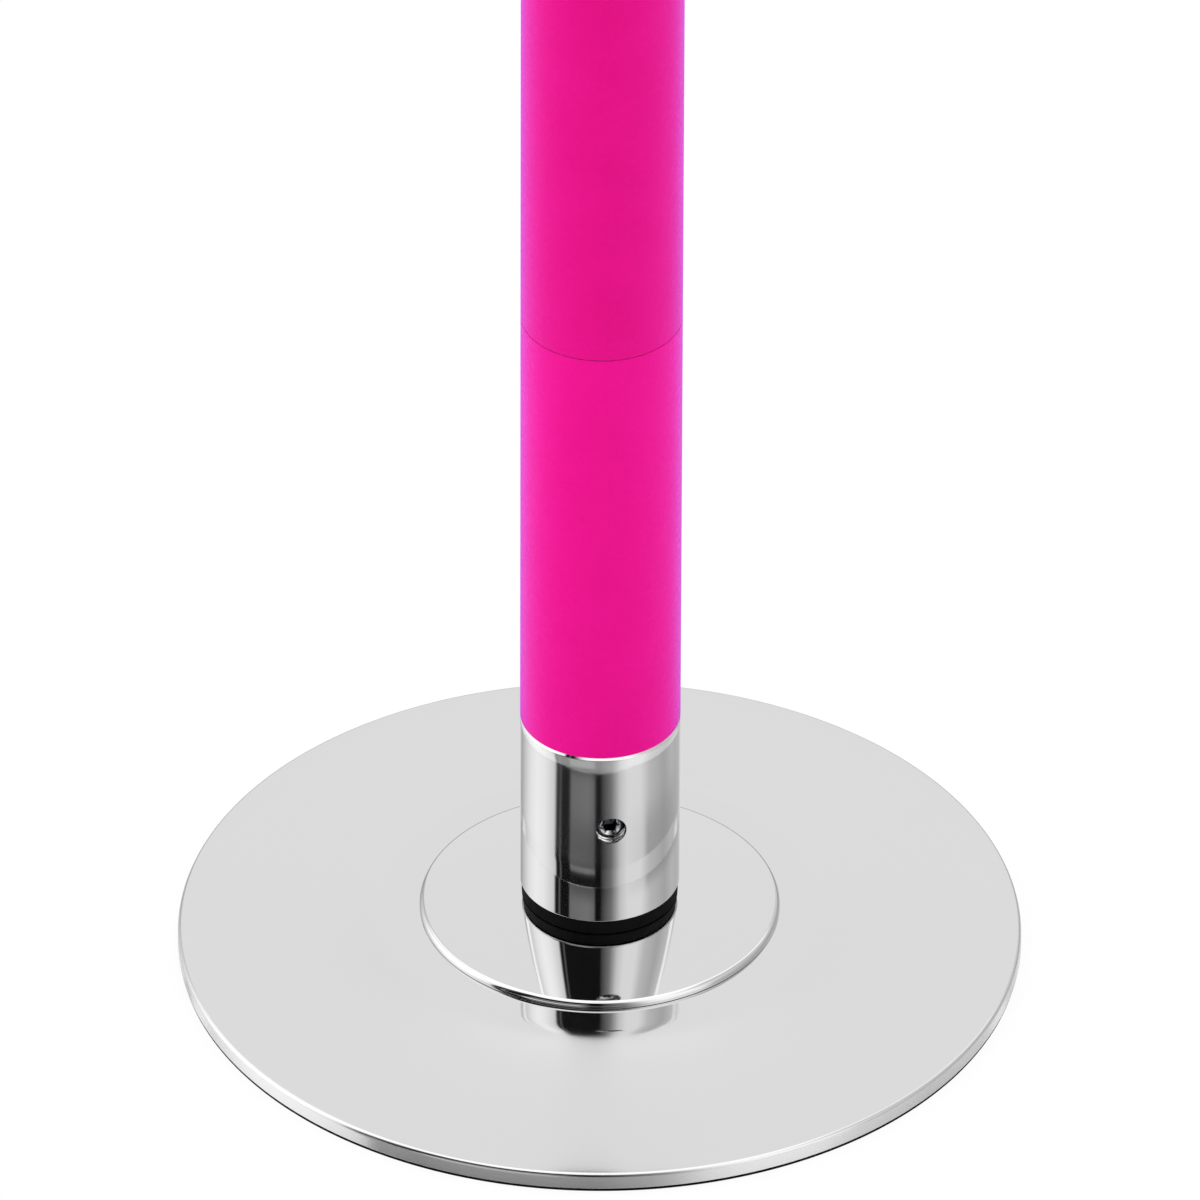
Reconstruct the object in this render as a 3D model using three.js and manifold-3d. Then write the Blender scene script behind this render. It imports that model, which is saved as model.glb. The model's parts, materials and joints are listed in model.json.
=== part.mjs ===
// A floor-to-ceiling dance pole that spins or locks: a dished foot plate, a pole in screwed sections under
// pink sleeves, a height adjuster, and a ceiling plate. Millimetres, +Z up, origin at the middle of the
// floor pad's underside.

import * as THREE from "three";
import { mergeVertices } from "three/addons/utils/BufferGeometryUtils.js";
import Module from "manifold-3d";

const wasm = await Module();
wasm.setup();

// Driving dimensions: clearances
const fitGap = 0.12; // radial, between parts pressed or screwed together
const seatGap = 0.1; // between faces that rest on each other
const looseGap = 0.3; // around parts that are laid in or run beside each other
const mergeDistance = 0.001;
const cutOverrun = 1;

// Driving dimensions: pole
const poleRadius = 22.5;
const sleeveWall = 1.5;
const tubeWall = 2;
const endSectionLength = 134.8;
const longSectionLength = 600;
const longSectionCount = 3;
const sleeveSeam = 0.3;
const plugLength = 40;
const plugStudRadius = 14;
const plugStudLength = 32;
const plugBore = 9;
const jointSocketLength = 36;

// Driving dimensions: end plate, with heights counted from the face of its pad
const plateRadius = 119;
const plateCrown = 13;
const plateRimTop = 5.8;
const plateRimBottom = 0.7;
const plateWall = 2.2;
const plateEdgeRadius = 1.2;
const plateSeatRadius = 60;
const plateBore = 14;
const plateBowPower = 1.6; // above 1, the dish is steepest at its seat and levels out towards its rim
const padThickness = 3.5;
const backingRadius = 46;

// Driving dimensions: cover
const coverRadius = 50.8;
const coverRise = 6.45;
const coverFall = 2.67;
const coverCurve = 4; // power of the radius by which the top falls, so it is level in the middle
const coverEdgeRadius = 1.8;
const coverWall = 1;
const coverBore = 15.5;

// Driving dimensions: hub, dust seal and bolts
const hubFlangeRadius = 28;
const hubFlangeThickness = 3;
const neckRadius = 11.8;
const spindleOverrun = 2;
const spindleNutHeight = 5;
const spindleNutRadius = 14;
const sealSkirtRadius = 21.6;
const sealLipRadius = 17.8;
const sealRunningGap = 0.5;
const boltCount = 3;
const boltCircleRadius = 21;
const boltRadius = 2.5;
const boltHeadRadius = 4.5;
const boltHeadHeight = 2;
const boltSocketRadius = 1.73;
const boltSocketDepth = 1.4;
const boltPointGap = 1.1;

// Driving dimensions: ball bearings
const bearingBore = 10;
const bearingRadius = 18.5;
const bearingWidth = 9;
const raceWall = 2.2;
const raceGrooveDepth = 1.2;
const raceGrooveHalfWidth = 2.5;
const ballRadius = 2.6;
const ballCount = 9;
const cageWall = 1.4;
const cageWidth = 5.6;

// Driving dimensions: collar and lock screw
const collarLength = 55.8;
const collarGap = 3.75;
const collarWebBore = 12.5;
const collarFootBreak = 0.4;
const collarHeadChamfer = 1.1;
const bearingRecess = 1.5;
const tubeSocketDepth = 10.5;
const lockScrewRadius = 4;
const lockScrewLength = 8;
const lockScrewRecess = 2.4;
const lockScrewRoof = 1.3;
const lockScrewAzimuthDegrees = 8.3;
const lockScrewSocketRadius = 2.3;
const lockScrewSocketDepth = 4;
const lockScrewChamfer = 0.6;
const lockHoleChamfer = 0.2;
const lockGrooveDepth = 0.9;
const lockGrooveHalfHeight = 4.5;

// Driving dimensions: height adjuster
const headCapHeight = 25;
const washerThickness = 1.5;
const washerRadius = 19;
const nutHeight = 18;
const nutHalfFlats = 18;
const nutChamfer = 1.5;
const rodRadius = 12;
const rodHalfFlats = 10;
const rodShowing = 6;
const rodHeadShowing = 8;
const rodHeadBoreGap = 1.5;
const spindleEndGap = 2.1;
const rodEndOverrun = 1.5;
const liftTravel = 60;
const stopRadius = 16;
const stopHeight = 8;
const stopMargin = 1;

// Facet counts
const plateFacets = 40;
const poleFacets = 32;
const innerFacets = 20;
const smallFacets = 10;
const bowSteps = 5;
const undersideSteps = 2;
const domeSteps = 4;
const roundSteps = 2;
const ballFacets = 6;
const ballBands = 3;
const hexSides = 6;

// Sizes worked out from the pieces that carry them
const sleeveBore = poleRadius - sleeveWall;
const tubeRadius = sleeveBore - fitGap;
const tubeBore = tubeRadius - tubeWall;
const bearingSeatRadius = bearingRadius + fitGap;
const journalRadius = bearingBore - fitGap;
const ballCircleRadius = (bearingBore + bearingRadius) / 2;
const hubFlangeFoot = plateCrown + seatGap;
const hubFlangeHead = hubFlangeFoot + hubFlangeThickness;
const backingFoot = padThickness + seatGap;
const backingHead = plateCrown - plateWall - seatGap;
const coverShoulderRadius = coverRadius - coverEdgeRadius;
const coverApex = plateCrown + coverRise;
const collarFoot = coverApex + collarGap;
const collarHead = collarFoot + collarLength;
const nearBearingFoot = collarFoot + bearingRecess;
const webFoot = nearBearingFoot + bearingWidth + seatGap;
const tubeSocketFloor = collarHead - tubeSocketDepth;
const farBearingFoot = tubeSocketFloor - seatGap - bearingWidth;
const webHead = farBearingFoot - seatGap;
const spindleNutFoot = farBearingFoot + bearingWidth + seatGap;
const spindleHead = spindleNutFoot + spindleNutHeight + spindleOverrun;
const lockScrewLevel = webHead - lockScrewRoof - lockScrewRadius;
const lockScrewFace = poleRadius - lockScrewRecess;
const firstSeam = collarHead + endSectionLength;
const lastSeam = firstSeam + longSectionCount * longSectionLength;
const headSectionEnd = lastSeam + endSectionLength;
const headCapFoot = headSectionEnd + seatGap;
const headCapFloor = headCapFoot + tubeSocketDepth;
const headCapHead = headCapFoot + headCapHeight;
const washerFoot = headCapHead + seatGap;
const nutFoot = washerFoot + washerThickness + seatGap;
const nutHead = nutFoot + nutHeight;
const rodHeadFoot = nutHead + rodShowing;
const ceilingCollarFoot = rodHeadFoot + rodHeadShowing;
const ceilingLevel = ceilingCollarFoot + collarHead;
const stopHead = headCapFloor - liftTravel - stopMargin;
const rodFoot = stopHead - stopHeight - rodEndOverrun;

// Materials
function finish(color, roughness, metalness) {
  return () => new THREE.MeshStandardMaterial({ color, roughness, metalness });
}

const chromeFinish = finish(0xd9d9d9, 0.08, 1);
const steelFinish = finish(0xa9acb0, 0.35, 1);
const darkSteelFinish = finish(0x3a3c40, 0.45, 0.8);
const bearingFinish = finish(0xc4c7cb, 0.2, 1);
const brassFinish = finish(0xb99a54, 0.35, 1);
const rubberFinish = finish(0x151516, 0.85, 0);
const sleeveFinish = finish(0xe8189e, 0.4, 0);

function piece(name, geometry, makeMaterial) {
  const mesh = new THREE.Mesh(geometry, makeMaterial());
  mesh.name = name;
  return mesh;
}

// Shapes and solids

// Revolves a closed outline of [radius, height] points about Z. The outline runs counter-clockwise, with
// radius to the right and height up, and ends on its first point or starts and ends on the axis.
function revolve(outline, facets) {
  const points = outline.map(([radius, height]) => new THREE.Vector2(radius, height));
  const geometry = new THREE.LatheGeometry(points, facets);
  geometry.rotateX(Math.PI / 2);
  return geometry;
}

function ring(innerRadius, outerRadius, foot, head, facets) {
  const outline = [
    [innerRadius, foot],
    [outerRadius, foot],
    [outerRadius, head],
    [innerRadius, head],
    [innerRadius, foot],
  ];
  return revolve(outline, facets);
}

function disc(radius, foot, head, facets) {
  const outline = [
    [0, foot],
    [radius, foot],
    [radius, head],
    [0, head],
  ];
  return revolve(outline, facets);
}

function prism(shape, foot, head) {
  const settings = { depth: head - foot, bevelEnabled: false, curveSegments: smallFacets };
  const geometry = new THREE.ExtrudeGeometry(shape, settings);
  geometry.translate(0, 0, foot);
  return geometry;
}

function hexagon(cornerRadius) {
  const corners = [];
  for (let i = 0; i < hexSides; i += 1) {
    const angle = (i * 2 * Math.PI) / hexSides;
    corners.push(new THREE.Vector2(cornerRadius * Math.cos(angle), cornerRadius * Math.sin(angle)));
  }
  return new THREE.Shape(corners);
}

// A circle cut by two parallel flats, which keeps the rod from turning in the head cap.
function keyedOutline(outlineClass, radius, halfFlats) {
  const flatAngle = Math.asin(halfFlats / radius);
  const outline = new outlineClass();
  outline.absarc(0, 0, radius, -flatAngle, flatAngle, false);
  outline.absarc(0, 0, radius, Math.PI - flatAngle, Math.PI + flatAngle, false);
  outline.closePath();
  return outline;
}

function solidOf(geometry) {
  const bare = geometry.index ? geometry.toNonIndexed() : geometry.clone();
  bare.deleteAttribute("normal");
  bare.deleteAttribute("uv");
  const merged = mergeVertices(bare, mergeDistance);
  const vertProperties = merged.getAttribute("position").array;
  const triVerts = new Uint32Array(merged.index.array);
  return new wasm.Manifold(new wasm.Mesh({ numProp: 3, vertProperties, triVerts }));
}

function geometryOf(solid) {
  const mesh = solid.getMesh();
  const stride = mesh.numProp;
  const positions = new Float32Array(mesh.numVert * 3);
  for (let i = 0; i < mesh.numVert; i += 1) {
    positions.set(mesh.vertProperties.subarray(i * stride, i * stride + 3), i * 3);
  }
  const geometry = new THREE.BufferGeometry();
  geometry.setAttribute("position", new THREE.BufferAttribute(positions, 3));
  geometry.setIndex(new THREE.BufferAttribute(new Uint32Array(mesh.triVerts), 1));
  geometry.computeVertexNormals();
  return geometry;
}

function cut(geometry, tools) {
  let solid = solidOf(geometry);
  for (const tool of tools) {
    solid = solid.subtract(solidOf(tool));
  }
  return geometryOf(solid);
}

function join(geometries) {
  let solid = solidOf(geometries[0]);
  for (const geometry of geometries.slice(1)) {
    solid = solid.add(solidOf(geometry));
  }
  return geometryOf(solid);
}

function around(count, make) {
  const copies = [];
  for (let i = 0; i < count; i += 1) {
    copies.push(make((i * 2 * Math.PI) / count, i + 1));
  }
  return copies;
}

function movedTo(geometry, radius, angle) {
  geometry.translate(radius * Math.cos(angle), radius * Math.sin(angle), 0);
  return geometry;
}

// End plate, pad and backing disc

// Height of the dish at a radius: level in the middle, then a bow that falls and levels out towards the rim.
function plateTop(radius) {
  const rimRadius = plateRadius - plateEdgeRadius;
  const share = Math.min(1, Math.max(0, (radius - plateSeatRadius) / (rimRadius - plateSeatRadius)));
  return plateRimTop + (plateCrown - plateRimTop) * (1 - share) ** plateBowPower;
}

function plateOutline() {
  const innerRim = plateRadius - plateWall;
  const rimRadius = plateRadius - plateEdgeRadius;
  const outline = [[plateBore, plateCrown - plateWall]];
  for (let i = 0; i <= undersideSteps; i += 1) {
    const radius = plateSeatRadius + ((innerRim - plateSeatRadius) * i) / undersideSteps;
    outline.push([radius, plateTop(radius) - plateWall]);
  }
  outline.push([innerRim, plateRimBottom]);
  outline.push([plateRadius, plateRimBottom]);
  for (let i = 0; i < roundSteps; i += 1) {
    const angle = (i * Math.PI) / 2 / roundSteps;
    const radius = rimRadius + plateEdgeRadius * Math.cos(angle);
    outline.push([radius, plateRimTop - plateEdgeRadius * (1 - Math.sin(angle))]);
  }
  for (let i = bowSteps; i >= 0; i -= 1) {
    const radius = plateSeatRadius + ((rimRadius - plateSeatRadius) * i) / bowSteps;
    outline.push([radius, plateTop(radius)]);
  }
  outline.push([plateBore, plateCrown]);
  outline.push(outline[0]);
  return outline;
}

function endPad(name) {
  const bodyRadius = plateRadius - plateWall - looseGap;
  const footRadius = plateRadius - looseGap;
  const footThickness = plateRimBottom - seatGap;
  const outline = [
    [0, 0],
    [footRadius, 0],
    [footRadius, footThickness],
    [bodyRadius, footThickness],
    [bodyRadius, padThickness],
    [0, padThickness],
  ];
  return piece(name, revolve(outline, plateFacets), rubberFinish);
}

// Bolts

// The outline of a countersunk bolt up to its head's rim, grown by a clearance to make the hole it goes in.
function boltOutline(gap) {
  const point = backingFoot + boltPointGap - gap;
  return [
    [0, point],
    [boltRadius + gap, point],
    [boltRadius + gap, hubFlangeHead - boltHeadHeight],
    [boltHeadRadius + gap, hubFlangeHead],
  ];
}

function boltHoles() {
  const holeTop = hubFlangeHead + cutOverrun;
  const outline = [...boltOutline(looseGap), [boltHeadRadius + looseGap, holeTop], [0, holeTop]];
  return around(boltCount, (angle) => movedTo(revolve(outline, smallFacets), boltCircleRadius, angle));
}

function bolt(name, angle) {
  const shank = revolve([...boltOutline(0), [0, hubFlangeHead]], smallFacets);
  const socketFoot = hubFlangeHead - boltSocketDepth;
  const socket = prism(hexagon(boltSocketRadius), socketFoot, hubFlangeHead + cutOverrun);
  return piece(name, movedTo(cut(shank, [socket]), boltCircleRadius, angle), darkSteelFinish);
}

function endPlate(name) {
  return piece(name, cut(revolve(plateOutline(), plateFacets), boltHoles()), chromeFinish);
}

function backingDisc(name) {
  const blank = disc(backingRadius, backingFoot, backingHead, poleFacets);
  return piece(name, cut(blank, boltHoles()), steelFinish);
}

// Cover

// Height of the cover's top at a radius: nearly level in the middle, and falling faster towards its edge.
function coverTop(radius) {
  return coverApex - coverFall * (radius / coverRadius) ** coverCurve;
}

function coverOutline() {
  const foot = plateCrown + seatGap;
  const skirtRadius = coverRadius - coverWall;
  const shoulder = coverTop(coverShoulderRadius);
  const outline = [];
  for (let i = 0; i <= undersideSteps; i += 1) {
    const radius = coverBore + ((skirtRadius - coverBore) * i) / undersideSteps;
    outline.push([radius, coverTop(radius) - coverWall]);
  }
  outline.push([skirtRadius, foot]);
  outline.push([coverRadius, foot]);
  for (let i = 0; i < roundSteps; i += 1) {
    const angle = (i * Math.PI) / 2 / roundSteps;
    const radius = coverShoulderRadius + coverEdgeRadius * Math.cos(angle);
    outline.push([radius, shoulder - coverEdgeRadius * (1 - Math.sin(angle))]);
  }
  for (let i = domeSteps; i >= 0; i -= 1) {
    const radius = coverBore + ((coverShoulderRadius - coverBore) * i) / domeSteps;
    outline.push([radius, coverTop(radius)]);
  }
  outline.push(outline[0]);
  return outline;
}

function endCover(name) {
  return piece(name, revolve(coverOutline(), plateFacets), chromeFinish);
}

// Hub, spindle nut and dust seal

function hub(name) {
  const spigotFoot = backingHead + seatGap;
  const spigotRadius = plateBore - fitGap;
  const shoulder = nearBearingFoot - seatGap;
  const grooveRadius = journalRadius - lockGrooveDepth;
  const grooveFoot = lockScrewLevel - lockGrooveHalfHeight;
  const grooveHead = lockScrewLevel + lockGrooveHalfHeight;
  const outline = [
    [0, spigotFoot],
    [spigotRadius, spigotFoot],
    [spigotRadius, hubFlangeFoot],
    [hubFlangeRadius, hubFlangeFoot],
    [hubFlangeRadius, hubFlangeHead],
    [neckRadius, hubFlangeHead],
    [neckRadius, shoulder],
    [journalRadius, shoulder],
    [journalRadius, grooveFoot - lockGrooveDepth],
    [grooveRadius, grooveFoot],
    [grooveRadius, grooveHead],
    [journalRadius, grooveHead + lockGrooveDepth],
    [journalRadius, spindleHead],
    [0, spindleHead],
  ];
  return piece(name, cut(revolve(outline, innerFacets), boltHoles()), steelFinish);
}

function spindleNut(name) {
  const shape = hexagon(spindleNutRadius);
  const bore = new THREE.Path();
  bore.absarc(0, 0, bearingBore, 0, 2 * Math.PI, true);
  shape.holes.push(bore);
  return piece(name, prism(shape, spindleNutFoot, spindleNutFoot + spindleNutHeight), steelFinish);
}

function dustSeal(name) {
  const innerRadius = neckRadius + fitGap;
  const bodyRadius = coverBore - looseGap;
  const foot = hubFlangeHead + seatGap;
  const skirtFoot = coverApex + seatGap;
  const skirtHead = collarFoot - looseGap;
  const head = nearBearingFoot - sealRunningGap;
  const outline = [
    [innerRadius, foot],
    [bodyRadius, foot],
    [bodyRadius, skirtFoot],
    [sealSkirtRadius, skirtFoot],
    [sealSkirtRadius, skirtHead],
    [sealLipRadius, skirtHead],
    [sealLipRadius, head],
    [innerRadius, head],
    [innerRadius, foot],
  ];
  return piece(name, revolve(outline, innerFacets), rubberFinish);
}

// Ball bearings

function innerRace(name, foot) {
  const middle = foot + bearingWidth / 2;
  const head = foot + bearingWidth;
  const outerRadius = bearingBore + raceWall;
  const outline = [
    [bearingBore, foot],
    [outerRadius, foot],
    [outerRadius, middle - raceGrooveHalfWidth],
    [outerRadius - raceGrooveDepth, middle],
    [outerRadius, middle + raceGrooveHalfWidth],
    [outerRadius, head],
    [bearingBore, head],
    [bearingBore, foot],
  ];
  return piece(name, revolve(outline, innerFacets), bearingFinish);
}

function outerRace(name, foot) {
  const middle = foot + bearingWidth / 2;
  const head = foot + bearingWidth;
  const innerRadius = bearingRadius - raceWall;
  const outline = [
    [innerRadius, foot],
    [bearingRadius, foot],
    [bearingRadius, head],
    [innerRadius, head],
    [innerRadius, middle + raceGrooveHalfWidth],
    [innerRadius + raceGrooveDepth, middle],
    [innerRadius, middle - raceGrooveHalfWidth],
    [innerRadius, foot],
  ];
  return piece(name, revolve(outline, innerFacets), bearingFinish);
}

function ballCage(name, foot) {
  const middle = foot + bearingWidth / 2;
  const cageFoot = middle - cageWidth / 2;
  const innerRadius = ballCircleRadius - cageWall / 2;
  const outerRadius = ballCircleRadius + cageWall / 2;
  const cage = ring(innerRadius, outerRadius, cageFoot, cageFoot + cageWidth, 2 * ballCount);
  const balls = around(ballCount, (angle) => {
    const ball = new THREE.SphereGeometry(ballRadius, ballFacets, ballBands);
    ball.rotateX(Math.PI / 2);
    ball.translate(0, 0, middle);
    return movedTo(ball, ballCircleRadius, angle);
  });
  return piece(name, join([cage, ...balls]), brassFinish);
}

function bearing(prefix, foot) {
  return [
    innerRace(`${prefix}_inner_race`, foot),
    outerRace(`${prefix}_outer_race`, foot),
    ballCage(`${prefix}_ball_cage`, foot),
  ];
}

// Collar and lock screw

function collarBlank() {
  const outline = [
    [bearingSeatRadius + collarFootBreak, collarFoot],
    [poleRadius - collarFootBreak, collarFoot],
    [poleRadius, collarFoot + collarFootBreak],
    [poleRadius, collarHead - collarHeadChamfer],
    [poleRadius - collarHeadChamfer, collarHead],
    [sleeveBore, collarHead],
    [sleeveBore, tubeSocketFloor],
    [bearingSeatRadius, tubeSocketFloor],
    [bearingSeatRadius, webHead],
    [collarWebBore, webHead],
    [collarWebBore, webFoot],
    [bearingSeatRadius, webFoot],
    [bearingSeatRadius, collarFoot + collarFootBreak],
    [bearingSeatRadius + collarFootBreak, collarFoot],
  ];
  return revolve(outline, poleFacets);
}

// Turns a shape made along +Z so that +Z points out of the collar at the lock screw's hole.
function towardsLockHole(geometry) {
  const azimuth = THREE.MathUtils.degToRad(lockScrewAzimuthDegrees);
  geometry.rotateX(Math.PI / 2);
  geometry.rotateZ(azimuth);
  geometry.translate(0, 0, lockScrewLevel);
  return geometry;
}

function lockHole() {
  const holeRadius = lockScrewRadius + fitGap;
  const mouth = poleRadius - lockHoleChamfer;
  const outline = [
    [0, 0],
    [holeRadius, 0],
    [holeRadius, mouth],
    [holeRadius + lockHoleChamfer + cutOverrun, poleRadius + cutOverrun],
    [0, poleRadius + cutOverrun],
  ];
  return towardsLockHole(revolve(outline, smallFacets));
}

function footCollar() {
  return piece("foot_collar", cut(collarBlank(), [lockHole()]), chromeFinish);
}

function ceilingCollar() {
  return piece("ceiling_collar", collarBlank(), chromeFinish);
}

function lockScrew() {
  const tip = lockScrewFace - lockScrewLength;
  const outline = [
    [0, tip],
    [lockScrewRadius - lockScrewChamfer, tip],
    [lockScrewRadius, tip + lockScrewChamfer],
    [lockScrewRadius, lockScrewFace - lockScrewChamfer],
    [lockScrewRadius - lockScrewChamfer, lockScrewFace],
    [0, lockScrewFace],
  ];
  const blank = revolve(outline, smallFacets);
  const socketFoot = lockScrewFace - lockScrewSocketDepth;
  const socket = prism(hexagon(lockScrewSocketRadius), socketFoot, lockScrewFace + cutOverrun);
  return piece("lock_screw", towardsLockHole(cut(blank, [socket])), darkSteelFinish);
}

// Pole sections and the joints between them

function tube(name, foot, head) {
  return piece(name, ring(tubeBore, tubeRadius, foot, head, innerFacets), steelFinish);
}

function sleeve(name, foot, head) {
  return piece(name, ring(sleeveBore, poleRadius, foot, head, poleFacets), sleeveFinish);
}

function section(prefix, foot, head) {
  const halfSeam = sleeveSeam / 2;
  return [
    tube(`${prefix}_tube`, foot + halfSeam, head - halfSeam),
    sleeve(`${prefix}_sleeve`, foot + halfSeam, head - halfSeam),
  ];
}

function footSection() {
  const head = firstSeam - sleeveSeam / 2;
  return [
    tube("foot_tube", tubeSocketFloor + seatGap, head),
    sleeve("foot_sleeve", collarHead + seatGap, head),
  ];
}

function headSection() {
  const foot = lastSeam + sleeveSeam / 2;
  return [
    tube("head_tube", foot, headCapFloor - seatGap),
    sleeve("head_sleeve", foot, headSectionEnd),
  ];
}

function jointPlug(name, seam) {
  const plugRadius = tubeBore - fitGap;
  const outline = [
    [plugBore, seam - plugLength],
    [plugRadius, seam - plugLength],
    [plugRadius, seam],
    [plugStudRadius, seam],
    [plugStudRadius, seam + plugStudLength],
    [plugBore, seam + plugStudLength],
    [plugBore, seam - plugLength],
  ];
  return piece(name, revolve(outline, innerFacets), steelFinish);
}

function jointSocket(name, seam) {
  const foot = seam + seatGap;
  const bore = plugStudRadius + fitGap;
  const shape = ring(bore, tubeBore - fitGap, foot, seam + jointSocketLength, innerFacets);
  return piece(name, shape, steelFinish);
}

function poleSections() {
  const pieces = [...footSection()];
  for (let i = 0; i < longSectionCount; i += 1) {
    const foot = firstSeam + i * longSectionLength;
    pieces.push(...section(`section_${i + 1}`, foot, foot + longSectionLength));
  }
  for (let i = 0; i <= longSectionCount; i += 1) {
    const seam = firstSeam + i * longSectionLength;
    pieces.push(jointPlug(`joint_plug_${i + 1}`, seam));
    pieces.push(jointSocket(`joint_socket_${i + 1}`, seam));
  }
  pieces.push(...headSection());
  return pieces;
}

// Height adjuster

function headCap() {
  const keyRadius = rodRadius + looseGap;
  const outline = [
    [0, headCapFloor],
    [sleeveBore, headCapFloor],
    [sleeveBore, headCapFoot],
    [poleRadius - collarFootBreak, headCapFoot],
    [poleRadius, headCapFoot + collarFootBreak],
    [poleRadius, headCapHead - collarHeadChamfer],
    [poleRadius - collarHeadChamfer, headCapHead],
    [0, headCapHead],
  ];
  const shape = keyedOutline(THREE.Shape, keyRadius, rodHalfFlats + looseGap);
  const keyway = prism(shape, headCapFloor - cutOverrun, headCapHead + cutOverrun);
  return piece("head_cap", cut(revolve(outline, poleFacets), [keyway]), chromeFinish);
}

function thrustWasher() {
  const bore = rodRadius + looseGap;
  const shape = ring(bore, washerRadius, washerFoot, washerFoot + washerThickness, innerFacets);
  return piece("thrust_washer", shape, brassFinish);
}

function adjusterNut() {
  const cornerRadius = nutHalfFlats / Math.cos(Math.PI / hexSides);
  const blank = prism(hexagon(cornerRadius), nutFoot, nutHead);
  const outline = [
    [rodRadius + looseGap, nutFoot],
    [cornerRadius - nutChamfer, nutFoot],
    [cornerRadius, nutFoot + nutChamfer],
    [cornerRadius, nutHead - nutChamfer],
    [cornerRadius - nutChamfer, nutHead],
    [rodRadius + looseGap, nutHead],
    [rodRadius + looseGap, nutFoot],
  ];
  const turned = solidOf(revolve(outline, innerFacets));
  return piece("adjuster_nut", geometryOf(solidOf(blank).intersect(turned)), chromeFinish);
}

function jackRod() {
  const headTop = ceilingCollarFoot + tubeSocketDepth - seatGap;
  const headBore = spindleNutRadius + rodHeadBoreGap;
  const recess = ceilingLevel - spindleHead - spindleEndGap;
  const outline = [
    [0, rodHeadFoot],
    [tubeRadius, rodHeadFoot],
    [tubeRadius, headTop],
    [headBore, headTop],
    [headBore, recess],
    [0, recess],
  ];
  const head = revolve(outline, poleFacets);
  const shape = keyedOutline(THREE.Shape, rodRadius, rodHalfFlats);
  const shank = prism(shape, rodFoot, (rodHeadFoot + recess) / 2);
  return piece("jack_rod", join([head, shank]), steelFinish);
}

function rodStop() {
  const shape = new THREE.Shape();
  shape.absarc(0, 0, stopRadius, 0, 2 * Math.PI, false);
  shape.holes.push(keyedOutline(THREE.Path, rodRadius + fitGap, rodHalfFlats + fitGap));
  return piece("rod_stop", prism(shape, stopHead - stopHeight, stopHead), steelFinish);
}

// Ends and assembly

// What stands still at one end, with the two bearings, counted up from the face of the pad.
function standingEnd(names) {
  return [
    endPad(names.pad),
    endPlate(names.plate),
    backingDisc(names.backing),
    endCover(names.cover),
    hub(names.hub),
    spindleNut(names.nut),
    dustSeal(names.seal),
    ...around(boltCount, (angle, number) => bolt(`${names.bolt}_${number}`, angle)),
    ...bearing(names.nearBearing, nearBearingFoot),
    ...bearing(names.farBearing, farBearingFoot),
  ];
}

function assemble() {
  const pole = new THREE.Group();
  const foot = new THREE.Group();
  foot.add(
    ...standingEnd({
      pad: "floor_pad",
      plate: "base_plate",
      backing: "base_backing_disc",
      cover: "base_cover",
      hub: "base_hub",
      nut: "base_spindle_nut",
      seal: "base_dust_seal",
      bolt: "base_bolt",
      nearBearing: "foot_lower_bearing",
      farBearing: "foot_upper_bearing",
    }),
    footCollar(),
    lockScrew(),
  );
  const ceiling = new THREE.Group();
  ceiling.add(
    ...standingEnd({
      pad: "ceiling_pad",
      plate: "ceiling_plate",
      backing: "ceiling_backing_disc",
      cover: "ceiling_cover",
      hub: "ceiling_hub",
      nut: "ceiling_spindle_nut",
      seal: "ceiling_dust_seal",
      bolt: "ceiling_bolt",
      nearBearing: "ceiling_upper_bearing",
      farBearing: "ceiling_lower_bearing",
    }),
    ceilingCollar(),
  );
  ceiling.rotation.x = Math.PI;
  ceiling.position.z = ceilingLevel;
  pole.add(foot, ceiling, ...poleSections());
  pole.add(headCap(), thrustWasher(), adjusterNut(), jackRod(), rodStop());
  return pole;
}

const dancePole = assemble();

export default dancePole;
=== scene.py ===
"""The looks of a floor-to-ceiling dance pole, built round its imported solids.

The classes hold their sizes in millimetres, in the frame's own axes: +Z runs up the pole from the floor pad's
underside, and the lock screw's hole is on the -Y side. Meshes are in metres. Heights and radii that a solid
already has are read from the frame.
"""

import json
import logging
import math
from dataclasses import dataclass
from enum import Enum
from functools import cache, partial

import bmesh
import bpy
import numpy as np
from mathutils import Matrix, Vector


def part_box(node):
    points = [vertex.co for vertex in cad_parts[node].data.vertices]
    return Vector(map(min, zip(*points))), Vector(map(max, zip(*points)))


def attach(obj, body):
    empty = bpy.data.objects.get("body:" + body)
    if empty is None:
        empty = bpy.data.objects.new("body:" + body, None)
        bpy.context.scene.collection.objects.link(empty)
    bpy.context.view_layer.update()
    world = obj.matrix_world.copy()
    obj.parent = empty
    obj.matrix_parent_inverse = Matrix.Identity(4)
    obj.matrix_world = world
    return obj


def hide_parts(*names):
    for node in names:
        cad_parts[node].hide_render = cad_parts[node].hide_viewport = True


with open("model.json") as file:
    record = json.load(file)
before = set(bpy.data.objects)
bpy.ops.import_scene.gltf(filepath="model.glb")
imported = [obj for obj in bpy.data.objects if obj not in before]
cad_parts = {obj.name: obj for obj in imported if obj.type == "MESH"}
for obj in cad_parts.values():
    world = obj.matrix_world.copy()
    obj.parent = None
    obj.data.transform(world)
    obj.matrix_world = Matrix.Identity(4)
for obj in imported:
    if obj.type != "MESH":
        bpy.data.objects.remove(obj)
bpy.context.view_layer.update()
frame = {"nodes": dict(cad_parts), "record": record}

MM = 0.001
FULL_TURN = 2 * math.pi
WELD_METRES = 1e-7
TINY = 1e-6
SHARP_DEGREES = 42

# Columns round a turned surface, by how large and how polished it is.
TURN_COLUMNS = 256
PRESSED_COLUMNS = 512
INNER_COLUMNS = 96

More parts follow.
